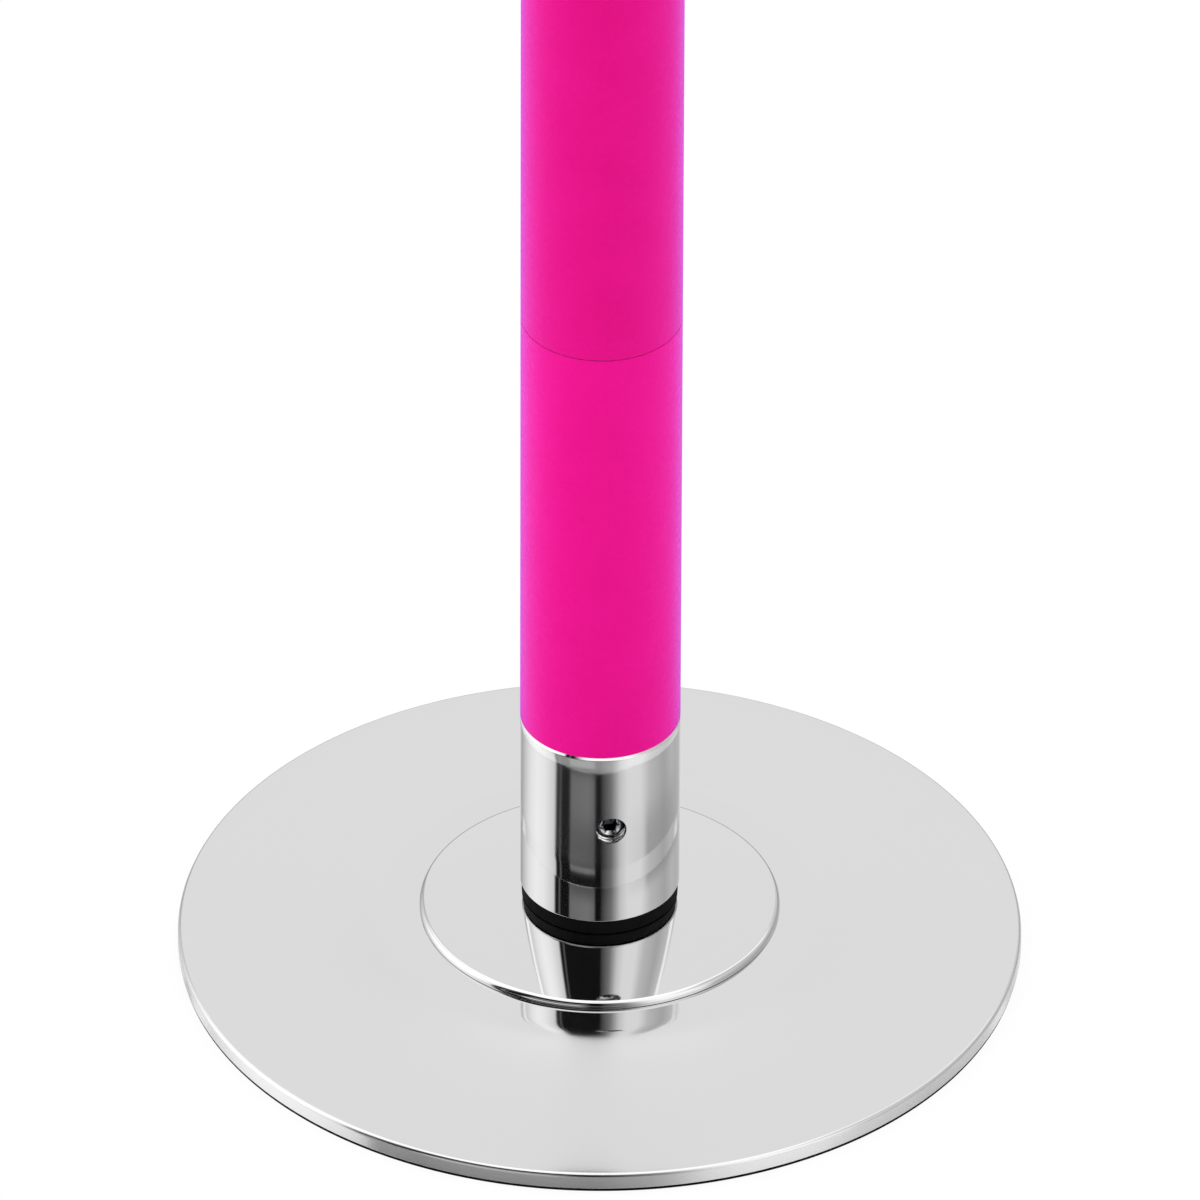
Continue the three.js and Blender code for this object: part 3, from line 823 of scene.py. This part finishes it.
@dataclass(frozen=True)
class DrilledWall:
    """Cylinder wall with the lock screw's hole through it, on a lattice of cells as high as they are wide.

    Args:
        radius: Radius of the wall.
        hole: Radius of the hole.
        cells: Half the width of the square patch round the hole, in cells.
        outward: Whether the wall faces away from the axis.
        level: Height of the hole's axis.
    """

    radius: float
    hole: float
    cells: int
    outward: bool
    level: float

    columns: int = 384
    hole_cells: int = 12
    row_step: float = 3.0

    @property
    def cell(self) -> float:
        """Height of a cell, which is as wide as its arc."""
        return self.radius * FULL_TURN / self.columns

    def facing(self, angle: np.ndarray, height: np.ndarray) -> Surface:
        """Joins the wall's points at grids of angles and heights.

        Args:
            angle: Angle of each point, in rows that go up.
            height: Height of each point.

        Returns:
            The surface, facing the wall's way.
        """
        points = round_axis(self.radius, angle, height).reshape(-1, 3)
        quads = grid_quads(*angle.shape, False, False)
        return Surface(points, quads if self.outward else quads[:, ::-1])

    def plain(self, heights: np.ndarray, gap_cells: int) -> Surface:
        """Wall without a hole, from one side of the patch round to the other.

        Args:
            heights: Heights of its rows, going up.
            gap_cells: Half the width of the gap left for the patch, in cells, or zero for none.

        Returns:
            The wall.
        """
        count = self.columns - 2 * gap_cells + 1
        angle = HOLE_START + (gap_cells + np.arange(count)) * (FULL_TURN / self.columns)
        return self.facing(*np.meshgrid(angle, heights))

    def patch(self) -> Surface:
        """Square patch with the hole in its middle.

        A lattice point at k cells from the middle moves to a mean of two points: one on the hole's circle,
        in its own direction, and one on the patch's square edge. The mean runs from the circle to the square
        as k grows. Sideways distances are measured across the drill's axis, so the hole is round along it.

        Returns:
            The patch, without the cells inside the hole.
        """
        span = np.arange(-self.cells, self.cells + 1)
        down, across = np.meshgrid(span, span, indexing="ij")
        far = np.maximum(np.maximum(np.abs(down), np.abs(across)), 1)
        share = np.clip((far - self.hole_cells) / (self.cells - self.hole_cells), 0, 1)
        direction = np.arctan2(down, across)
        square_side = self.radius * np.sin(across * self.cells / far * (FULL_TURN / self.columns))
        square_rise = down * self.cells / far * self.cell
        side = (1 - share) * self.hole * np.cos(direction) + share * square_side
        height = self.level + (1 - share) * self.hole * np.sin(direction) + share * square_rise
        whole = self.facing(HOLE_START + np.arcsin(np.clip(side / self.radius, -1, 1)), height)
        inside = np.abs(span[:-1] + 0.5) < self.hole_cells
        return Surface(whole.points, whole.quads[~(inside[:, None] & inside).ravel()])

    def surfaces(self, low: float, high: float) -> list[Surface]:
        """The whole wall.

        Args:
            low: Height of its foot.
            high: Height of its head.

        Returns:
            The stretches below, above and beside the patch, and last the patch itself.
        """
        half = self.cells * self.cell
        return [
            self.plain(heights_between(low, self.level - half, self.row_step), 0),
            self.plain(heights_between(self.level + half, high, self.row_step), 0),
            self.plain(self.level + np.arange(-self.cells, self.cells + 1) * self.cell, self.cells),
            self.patch(),
        ]

    def hole_ring(self) -> np.ndarray:
        """Points round the patch's hole, counter-clockwise as seen from outside.

        Returns:
            One row of x, y, z for each point.
        """
        side = 2 * self.cells + 1
        grid = self.patch().points.reshape(side, side, 3)
        low, high = self.cells - self.hole_cells, self.cells + self.hole_cells
        bottom, right = grid[low, low:high], grid[low:high, high]
        top, left = grid[high, high:low:-1], grid[high:low:-1, low]
        return np.vstack([bottom, right, top, left])


@dataclass(frozen=True)
class Collar(EndPiece):
    """Chromed collar that holds two bearings and the end of the pole.

    Args:
        node: The collar's solid.
        drilled: Whether it has the lock screw's hole.
    """

    node: str
    drilled: bool = False

    bearing_bore: float = 18.62
    web_bore: float = 12.5
    foot_break: float = 0.4
    foot_drop: float = 0.45
    chamfer_rise: float = 0.9
    web_rise: float = 10.6
    web_drop: float = 19.7

    columns: int = 384
    wall_cells: int = 20
    web_cells: int = 23
    tall_step: float = 1.0
    hole_radius: float = 4.12
    hole_chamfer: float = 0.2
    mouth_share: float = 0.02
    chamfer_share: float = 0.045
    fade_share: float = 0.05
    thread_rows: int = 100
    thread_depth: float = 0.5

    def outline(self) -> np.ndarray:
        """The collar's closed outline, as it stands on the floor.

        Returns:
            The outline's points, one row of (radius, height) each.
        """
        size = self.own(self.node)
        foot, floor = size.foot - self.foot_drop, size.head - SEAT_DEPTH
        web_foot, web_head = size.foot + self.web_rise, size.head - self.web_drop
        return rounded([
            (self.bearing_bore, foot, self.foot_break),
            (size.radius, foot, self.foot_break),
            (size.radius, size.head - self.chamfer_rise, 0.25),
            (size.radius - HEAD_CHAMFER, size.head, 0.12),
            (SEAT_RADIUS, size.head, 0.05),
            (SEAT_RADIUS, floor, 0.1),
            (self.bearing_bore, floor, 0.1),
            (self.bearing_bore, web_head, 0.1),
            (self.web_bore, web_head, 0.2),
            (self.web_bore, web_foot, 0.2),
            (self.bearing_bore, web_foot, 0.1),
        ])

    def hole_wall(self, outer: DrilledWall, inner: DrilledWall) -> Surface:
        """Threaded wall of the hole, between the rings of points that the two drilled walls have round it.

        Each row is a ring at a share of the way inwards. Its radius across the drill's axis falls by the
        mouth's chamfer, and then grows and shrinks with the thread's wave.

        Args:
            outer: The collar's outer wall.
            inner: The wall of its web's bore.

        Returns:
            The wall, facing the hole's axis.
        """
        mouth, end = outer.hole_ring(), inner.hole_ring()
        depth_mouth, depth_end = mouth @ HOLE_OUT, end @ HOLE_OUT
        angle = np.arctan2(mouth[:, 2] - outer.level, mouth @ HOLE_SIDE)
        inwards = np.linspace(self.chamfer_share, 1, self.thread_rows)
        share = np.array([0.0, self.mouth_share, *inwards])[:, None]
        depth = depth_mouth + (depth_end - depth_mouth) * share
        chamfer = self.hole_chamfer * np.clip(1 - share / self.chamfer_share, 0, 1)
        fade_in = np.clip((share - self.chamfer_share) / self.fade_share, 0, 1)
        fade = fade_in * np.clip((1 - share) / self.fade_share, 0, 1)
        thread = self.thread_depth * (1 - thread_wave(angle, depth, SCREW_PITCH)) * fade
        reach = self.hole_radius + chamfer + thread
        points = (
            depth[..., None] * HOLE_OUT
            + (reach * np.cos(angle))[..., None] * HOLE_SIDE
            + (outer.level + reach * np.sin(angle))[..., None] * np.array([0.0, 0.0, 1.0])
        )
        points[0], points[-1] = mouth, end
        quads = grid_quads(len(share), len(mouth), False, True)
        return Surface(points.reshape(-1, 3), quads[:, ::-1])

    def drilled_surface(self, outline: np.ndarray) -> Surface:
        """The collar with its hole: two walls made from lattices, the hole's wall, and the rest revolved.

        Args:
            outline: The collar's closed outline.

        Returns:
            The collar's surface.
        """
        level = extent_of("lock_screw").middle
        mouth = self.hole_radius + self.hole_chamfer
        outer = DrilledWall(self.own(self.node).radius, mouth, self.wall_cells, True, level)
        inner = DrilledWall(self.web_bore, self.hole_radius, self.web_cells, False, level)
        tall = np.abs(outline[:, 1] - np.roll(outline[:, 1], -1)) > self.tall_step
        surfaces, revolved_rows = [], np.ones(len(outline), bool)
        for wall in (outer, inner):
            on_wall = np.abs(outline[:, 0] - wall.radius) < TINY
            surfaces += wall.surfaces(outline[on_wall, 1].min(), outline[on_wall, 1].max())
            revolved_rows &= ~(on_wall & np.roll(on_wall, -1) & tall)
        rest = revolved(outline, self.columns).moved(Matrix.Rotation(HOLE_START, 4, "Z"))
        rest = Surface(rest.points, rest.quads[np.repeat(revolved_rows, self.columns)])
        return joined([*surfaces, self.hole_wall(outer, inner), rest])

    def make(self) -> None:
        """Makes the collar."""
        outline = self.outline()
        surface = self.drilled_surface(outline) if self.drilled else revolved(outline, self.columns)
        make_piece(self.node, self.settled(surface), TURNED_CHROME, self.body)


# The lock screw


@dataclass(frozen=True)
class LockScrew:
    """Flat-tipped set screw with a hexagon socket, in the collar's side hole."""

    node: str = "lock_screw"
    radius: float = 4.0
    length: float = 8.0
    face: float = 20.1
    face_row: float = 0.02
    socket_half_flats: float = 2.0
    socket_mouth: float = 2.9
    mouth_edge: float = 0.04
    mouth_depth: float = 0.8
    mouth_row: float = 0.05
    socket_depth: float = 4.0
    socket_row: float = 0.1
    socket_cone: float = 1.0
    worn_from: float = 0.015
    chamfer: float = 0.6
    thread_depth: float = 0.45
    thread_rows: int = 12
    tip_fade: float = 0.6
    face_fade: float = 0.4

    def surface(self, level: float) -> Surface:
        """The screw along its own +Z, which then points out of the hole.

        Args:
            level: Height of the hole's axis.

        Returns:
            The screw's surface in place.
        """
        angle = turn_angles(INNER_COLUMNS)
        face, tip = self.face, self.face - self.length
        shank = heights_between(tip + self.chamfer, face - self.chamfer, SCREW_PITCH / self.thread_rows)
        fade = np.clip((shank - shank[0]) / self.tip_fade, 0, 1)
        fade *= np.clip((shank[-1] - shank) / self.face_fade, 0, 1)
        wave = thread_wave(angle, shank[:, None], SCREW_PITCH)
        mouth, floor = face - self.mouth_depth, face - self.socket_depth
        walls = [mouth, mouth - self.mouth_row, floor + self.socket_row, floor]
        hexagon = np.minimum(hexagon_radius(angle, self.socket_half_flats), self.socket_mouth)
        neck = self.radius - self.chamfer
        radii = np.vstack([
            round_rows([0.0, neck], INNER_COLUMNS),
            self.radius - self.thread_depth * wave * fade[:, None],
            round_rows([neck, self.socket_mouth + self.mouth_edge, self.socket_mouth], INNER_COLUMNS),
            np.repeat(hexagon[None], len(walls), axis=0),
            round_rows([0.0], INNER_COLUMNS),
        ])
        rim = [face, face, face - self.face_row]
        heights = np.array([tip, tip, *shank, *rim, *walls, floor - self.socket_cone])
        turn = Matrix.Rotation(HOLE_TURN, 4, "Z") @ Matrix.Rotation(math.pi / 2, 4, "X")
        return turned(radii, heights, closed=False).moved(Matrix.Translation((0, 0, level)) @ turn)

    def make(self) -> None:
        """Makes the screw at the middle of its solid's height, and bares its socket's mouth.

        The bared faces lie between the hexagon and the mouth's circle, just inside the screw's face.
        """
        level = extent_of(self.node).middle
        mesh = make_piece(self.node, self.surface(level), BLACK_OXIDE, "lock_screw").data
        middles = np.empty(3 * len(mesh.polygons), dtype=np.float32)
        mesh.polygons.foreach_get("center", middles)
        middles = middles.reshape(-1, 3) / MM - (0.0, 0.0, level)
        along = middles @ HOLE_OUT
        away = np.linalg.norm(middles - along[:, None] * HOLE_OUT, axis=1)
        worn = (along > self.face - self.mouth_depth) & (along < self.face - self.worn_from)
        worn &= away < self.socket_mouth
        mesh.materials.append(BARE_STEEL.material())
        mesh.polygons.foreach_set("material_index", worn.astype(np.int32))


# The pole and its adjuster


@dataclass(frozen=True)
class PoleSections:
    """Pink sleeves over steel tubes."""

    sleeve_wall: float = 1.5
    sleeve_edge: float = 0.12
    sections: tuple[str, ...] = ("foot", "section_1", "section_2", "section_3", "head")

    def make(self) -> None:
        """Makes each section's sleeve."""
        for section in self.sections:
            node = f"{section}_sleeve"
            size = extent_of(node)
            bore = size.radius - self.sleeve_wall
            surface = ring(bore, size.radius, size.foot, size.head, self.sleeve_edge)
            finish = FOOT_SILICONE if section == "foot" else PINK_SILICONE
            make_piece(node, surface, finish, "pole", seen_in_mirrors=False)


@dataclass(frozen=True)
class HeightAdjuster:
    """Head cap, thrust washer, adjuster nut and jack rod."""

    rod_radius: float = 12.0
    rod_half_flats: float = 10.0
    gap: float = 0.3
    rod_pitch: float = 4.0
    rod_depth: float = 1.1
    rod_rows: int = 14
    rod_tip: float = 0.8
    rod_tip_chamfer: float = 1.2
    rod_neck: float = 0.4
    rod_head_rise: float = 6.0
    rod_head_bore: float = 15.5
    rod_recess_depth: float = 9.0
    nut_half_flats: float = 18.0
    nut_chamfer: float = 1.5
    nut_chamfer_rows: int = 14
    nut_row: float = 0.25
    mouth: float = 0.8
    cap_margin: float = 2.0
    cap_mouth: float = 0.4
    washer_edge: float = 0.25

    def make_cap(self) -> None:
        """Head cap: a cup over the pole's end, with a hole that has the rod's two flats."""
        size = extent_of("head_cap")
        angle = turn_angles(TURN_COLUMNS)
        key = keyed_radius(angle, self.rod_radius + self.gap, self.rod_half_flats + self.gap)
        inner, floor = self.rod_radius + self.cap_margin, size.foot + SEAT_DEPTH
        outline = rounded([
            (inner, floor, 0.0),
            (SEAT_RADIUS, floor, 0.1),
            (SEAT_RADIUS, size.foot, 0.1),
            (size.radius, size.foot, 0.4),
            (size.radius, size.head - HEAD_CHAMFER, 0.25),
            (size.radius - HEAD_CHAMFER, size.head, 0.2),
            (inner, size.head, 0.0),
        ])
        radii = np.vstack([round_rows(outline[:, 0], TURN_COLUMNS), key + self.cap_mouth, key, key])
        heights = np.array([*outline[:, 1], size.head, size.head - self.cap_mouth, floor])
        make_piece("head_cap", turned(radii, heights), TURNED_CHROME, "pole", seen_in_mirrors=False)

    def make_washer(self) -> None:
        """Brass thrust washer under the nut."""
        size = extent_of("thrust_washer")
        surface = ring(self.rod_radius + self.gap, size.radius, size.foot, size.head, self.washer_edge)
        make_piece("thrust_washer", surface, BRASS, "pole")

    def make_nut(self) -> None:
        """Adjuster nut: rows of the least of the hexagon's radius and the chamfer cone's, and a thread."""
        size = extent_of("adjuster_nut")
        angle = turn_angles(PRESSED_COLUMNS)
        tall = size.head - size.foot
        ends = np.linspace(0, self.nut_chamfer, self.nut_chamfer_rows)
        rise = np.concatenate([ends, [tall - self.nut_chamfer], tall - ends[::-1]])
        corner = self.nut_half_flats / math.cos(math.pi / 6)
        cone = corner + np.minimum(0, np.minimum(rise, tall - rise) - self.nut_chamfer)
        hexagon = hexagon_radius(angle + FULL_TURN / 12, self.nut_half_flats)
        bore = self.rod_radius + self.gap
        inside = heights_between(size.head - self.mouth, size.foot + self.mouth, self.nut_row)
        mouth = round_rows([bore + self.mouth], PRESSED_COLUMNS)
        thread = bore + self.rod_depth * (1 - thread_wave(angle, inside[:, None], self.rod_pitch))
        radii = np.vstack([mouth, np.minimum(hexagon, cone[:, None]), mouth, thread])
        heights = np.concatenate([[size.foot], size.foot + rise, [size.head], inside])
        make_piece("adjuster_nut", turned(radii, heights), TURNED_CHROME, "adjuster_nut")

    def make_rod(self) -> None:
        """Jack rod: a head on a screw whose rows are the least of the thread's radius and the two flats'."""
        size = extent_of("jack_rod")
        columns = 2 * INNER_COLUMNS
        angle = turn_angles(columns)
        head_foot = extent_of("adjuster_nut").head + self.rod_head_rise
        recess = size.head - self.rod_recess_depth
        neck = head_foot - self.rod_neck
        shank = heights_between(size.foot + self.rod_tip, neck, self.rod_pitch / self.rod_rows)
        thread = self.rod_radius - self.rod_depth * thread_wave(angle, shank[:, None], self.rod_pitch)
        key = keyed_radius(angle, self.rod_radius, self.rod_half_flats)
        head = rounded([
            (self.rod_radius, head_foot, 0.0),
            (size.radius, head_foot, 0.6),
            (size.radius, size.head, 0.3),
            (self.rod_head_bore, size.head, 0.3),
            (self.rod_head_bore, recess, 0.5),
            (0.0, recess, 0.0),
        ])
        radii = np.vstack([
            round_rows([0.0], columns),
            np.minimum(key, self.rod_radius - self.rod_tip_chamfer),
            np.minimum(thread, key),
            round_rows(head[:, 0], columns),
        ])
        heights = np.concatenate([[size.foot, size.foot], shank, head[:, 1]])
        make_piece("jack_rod", turned(radii, heights, closed=False), TURNED_STEEL, "jack")

    def make(self) -> None:
        """Makes every piece of the adjuster."""
        self.make_cap()
        self.make_washer()
        self.make_nut()
        self.make_rod()


# Pieces inside the pole and the collars, which keep their solids


INNER_FINISHES = {finish.slot: finish for finish in (TURNED_STEEL, BEARING_STEEL, BRASS, BLACK_OXIDE)}


def dress_inner_solids() -> None:
    """Gives each solid that still shows the finish of its slot in the record.

    The tubes and joints under the sleeves aren't reflected, as the sleeves aren't.
    """
    slots = {entry["node"]: entry["material_slot"] for entry in frame["record"]["subparts"]}
    for node, solid in frame["nodes"].items():
        if solid.hide_render:
            continue
        solid.data.materials.clear()
        solid.data.materials.append(INNER_FINISHES[slots[node]].material())
        if "tube" in node or "joint" in node or node == "rod_stop":
            solid.visible_glossy = False
        log.info("%s: kept, %s", node, slots[node])


# Studio


@dataclass(frozen=True)
class Band:
    """Brightness round the studio at the elevations above a soft edge.

    Args:
        low: Elevation in degrees at which the edge starts.
        high: Elevation in degrees above which the band is full.
        stops: Pairs of azimuth in degrees and brightness. Azimuths count from -Y, the camera's side, to +X.
    """

    low: float
    high: float
    stops: Stops


LEFT_END = ((-180, 1.0), (-160, 1.0), (-156, 0.6), (-150, 0.65))
LEFT_PANELS = ((-118, 1.45), (-102, 1.65), (-86, 1.55), (-67.8, 1.15), (-64.6, 0.02))
THIN_GAP = ((-60, 0.01), (-59, 0.16), (-57.5, 0.16), (-56.5, 0.01))
LEFT = LEFT_END + LEFT_PANELS + THIN_GAP
RIGHT_END = ((156, 0.8), (160, 1.0), (180, 1.0))
RIGHT_PANELS = (
    (1, 0.01), (3, 0.08), (16, 0.3), (22, 0.6), (29, 1.05), (40, 1.33), (60, 1.33), (76, 0.92), (104, 0.7),
    (125, 0.86), (137, 0.77),
)
RIGHT_LOW_PANELS = (
    (1, 0.01), (3, 0.05), (16, 0.25), (22, 0.55), (29, 1.0), (38, 1.25), (63, 1.1), (72, 0.62), (104, 0.55),
)


@dataclass(frozen=True)
class Studio:
    """White studio with dark and grey panels on the camera's side, a pale floor and the camera.

    Brightness 1 is white. Polished surfaces see the panels and a round white card, which lies straight behind
    the object where the camera meets it in a level mirror, with brighter light round the card. Matt surfaces
    get the softer light of the matt ring, so that their colours come out as they are written.
    """

    floor_radius: float = 60000.0
    floor_colour: str = "#F0F0F0"
    floor_glow_share: float = 0.93
    floor_gloss: float = 0.68
    floor_roughness: float = 0.08
    lens_mm: float = 670.904
    sensor_mm: float = 36.0
    clip: tuple[float, float] = (0.5, 200.0)
    camera_place_mm: tuple[float, float, float] = (-0.193, -5115.111, 3703.498)
    pitch_degrees: float = 35.0326
    roll_degrees: float = 0.1955
    brightest: float = 2.0
    bands: tuple[Band, ...] = (
        Band(0, 0, (
            (-180, 0.35), (-150, 0.4), *LEFT_PANELS, *THIN_GAP, (-47, 0.05), (-44, 0.8), (-12, 0.65),
            (-8, 0.04), *RIGHT_LOW_PANELS, (150, 0.4), (180, 0.35),
        )),
        Band(7, 12, (
            *LEFT, (-44, 0.01), (-42, 0.17), (-8, 0.15), (-5.5, 0.01),
            *RIGHT_LOW_PANELS, (137, 0.7), *RIGHT_END,
        )),
        Band(17, 23, (
            *LEFT, (-44, 0.01), (-42, 0.27), (-17, 0.32), (-8, 0.25), (-5.5, 0.01),
            *RIGHT_PANELS, *RIGHT_END,
        )),
        Band(33, 35, LEFT + RIGHT_PANELS + RIGHT_END),
        Band(60, 65, ((-180, 1.4), (180, 1.4))),
    )
    back_light: Band = Band(30, 40, (
        (-180, 1.6), (-140, 1.6), (-120, 0.0), (120, 0.0), (140, 1.5), (180, 1.5),
    ))
    card_degrees: tuple[float, float] = (23.0, 26.5)
    matt_ring: Stops = (
        (-180, 1.0), (-130, 1.7), (-60, 1.9), (-25, 0.66), (25, 0.64), (60, 1.5), (130, 1.5), (180, 1.0),
    )

    def ramp(self, tree: bpy.types.NodeTree, stops: Stops, turn: Socket) -> Socket:
        """Brightness over the azimuth, as a share of the brightest.

        Args:
            tree: The world's nodes.
            stops: Pairs of azimuth in degrees and brightness, from -180 to 180.
            turn: The azimuth's share of a turn, with one half at the camera's side.

        Returns:
            The brightness.
        """
        colours = add_node(tree, "ValToRGB", {0: turn})
        elements = colours[0].node.color_ramp.elements
        for azimuth, _ in stops[1:-1]:
            elements.new(0.5 + azimuth / 360)
        for element, (_, brightness) in zip(elements, stops):
            element.color = (*[brightness / self.brightest] * 3, 1.0)
        return colours["Color"]

    def above(self, tree: bpy.types.NodeTree, up: Socket, band: Band) -> Socket:
        """Share that rises smoothly from 0 to 1 over a band's soft edge.

        Args:
            tree: The world's nodes.
            up: Sine of the elevation.
            band: The band.

        Returns:
            The share.
        """
        low, high = (math.sin(math.radians(degrees)) for degrees in (band.low, band.high))
        edge = {"Value": up, "From Min": low, "From Max": high}
        return add_node(tree, "MapRange", edge, interpolation_type="SMOOTHSTEP")[0]

    def make_world(self) -> None:
        """Lights the scene from all round. The camera itself sees plain white."""
        world = bpy.data.worlds.new("studio")
        bpy.context.scene.world = world
        world.use_nodes = True
        tree = world.node_tree
        tree.nodes.clear()
        add = partial(add_node, tree)
        way = add("TexCoord")["Generated"]
        parts = add("SeparateXYZ", {0: way})
        front = add("Math", {0: parts["Y"], 1: -1.0}, operation="MULTIPLY")[0]
        azimuth = add("Math", {0: parts["X"], 1: front}, operation="ARCTAN2")[0]
        turn = add("Math", {0: azimuth, 1: 1 / FULL_TURN, 2: 0.5}, operation="MULTIPLY_ADD")[0]
        light = self.ramp(tree, self.bands[0].stops, turn)
        for band in self.bands[1:]:
            layers = {0: self.above(tree, parts["Z"], band), 6: light, 7: self.ramp(tree, band.stops, turn)}
            light = add("Mix", layers, data_type="RGBA")[2]
        pitch = math.radians(self.pitch_degrees)
        mirrored = {0: way, 1: (0.0, math.cos(pitch), math.sin(pitch))}
        ahead = add("VectorMath", mirrored, operation="DOT_PRODUCT")["Value"]
        near, far = (math.cos(math.radians(degrees)) for degrees in self.card_degrees)
        edge = {"Value": ahead, "From Min": near, "From Max": far}
        beyond = add("MapRange", edge, interpolation_type="SMOOTHSTEP")[0]
        high = self.above(tree, parts["Z"], self.back_light)
        share = add("Math", {0: beyond, 1: high}, operation="MULTIPLY")[0]
        layers = {0: share, 6: light, 7: self.ramp(tree, self.back_light.stops, turn)}
        light = add("Mix", layers, data_type="RGBA", blend_type="LIGHTEN")[2]
        path = add("LightPath")
        layers = {0: path["Is Glossy Ray"], 6: self.ramp(tree, self.matt_ring, turn), 7: light}
        light = add("Mix", layers, data_type="RGBA")[2]
        panels = add("Background", {"Color": light, "Strength": self.brightest})[0]
        plain_white = add("Background", {"Color": WHITE, "Strength": 1.0})[0]
        mixed = add("MixShader", {0: path["Is Camera Ray"], 1: panels, 2: plain_white})[0]
        add("OutputWorld", {"Surface": mixed})

    def make_floor(self) -> None:
        """Pale floor disc. To the camera it mostly glows white, and the rest keeps the pole's soft shadow.

        The chrome sees a sheen on it.
        """
        radii = round_rows([self.floor_radius, 0.0], INNER_COLUMNS)
        mesh = mesh_of("floor", turned(radii, np.zeros(2), closed=False))
        floor = bpy.data.objects.new("floor", mesh)
        bpy.context.scene.collection.objects.link(floor)
        material = bpy.data.materials.new("painted studio floor")
        material.use_nodes = True
        material.node_tree.nodes.clear()
        add = partial(add_node, material.node_tree)
        colour = linear(self.floor_colour)
        path = add("LightPath")
        matt = add("BsdfDiffuse", {"Color": colour})[0]
        gloss = add("BsdfAnisotropic", {"Color": colour, "Roughness": self.floor_roughness})[0]
        glow = add("Emission", {"Color": WHITE, "Strength": 1.0})[0]
        shine = add("Math", {0: path["Is Glossy Ray"], 1: self.floor_gloss}, operation="MULTIPLY")[0]
        share = add("Math", {0: path["Is Camera Ray"], 1: self.floor_glow_share}, operation="MULTIPLY")[0]
        paint = add("MixShader", {0: shine, 1: matt, 2: gloss})[0]
        mixed = add("MixShader", {0: share, 1: paint, 2: glow})[0]
        add("OutputMaterial", {"Surface": mixed})
        mesh.materials.append(material)

    def make_camera(self) -> None:
        """Long lens above the pole's foot, pitched down, at the photograph's angle."""
        data = bpy.data.cameras.new("camera")
        data.lens = self.lens_mm
        data.sensor_width = self.sensor_mm
        data.clip_start, data.clip_end = self.clip
        camera = bpy.data.objects.new("camera", data)
        bpy.context.scene.collection.objects.link(camera)
        place = Matrix.Translation([coordinate * MM for coordinate in self.camera_place_mm])
        pitch = Matrix.Rotation(math.radians(90 - self.pitch_degrees), 4, "X")
        roll = Matrix.Rotation(math.radians(self.roll_degrees), 4, "Z")
        camera.matrix_world = place @ pitch @ roll
        bpy.context.scene.camera = camera

    def make(self) -> None:
        """Makes the world, the floor and the camera, and sets the view transform."""
        self.make_world()
        self.make_floor()
        self.make_camera()
        bpy.context.scene.view_settings.view_transform = "Standard"


def main() -> None:
    """Builds the studio and then the pole from the floor up."""
    logging.basicConfig(level=logging.INFO, format="%(name)s %(message)s")
    ceiling_level = extent_of("ceiling_pad").head
    Studio().make()
    EndFitting("base", "floor_pad", body="base").make()
    EndFitting("ceiling", "ceiling_pad", body="ceiling", level=ceiling_level).make()
    Collar("foot_collar", drilled=True, body="pole").make()
    Collar("ceiling_collar", body="jack", level=ceiling_level).make()
    LockScrew().make()
    PoleSections().make()
    HeightAdjuster().make()
    dress_inner_solids()


if __name__ == "__main__":
    main()
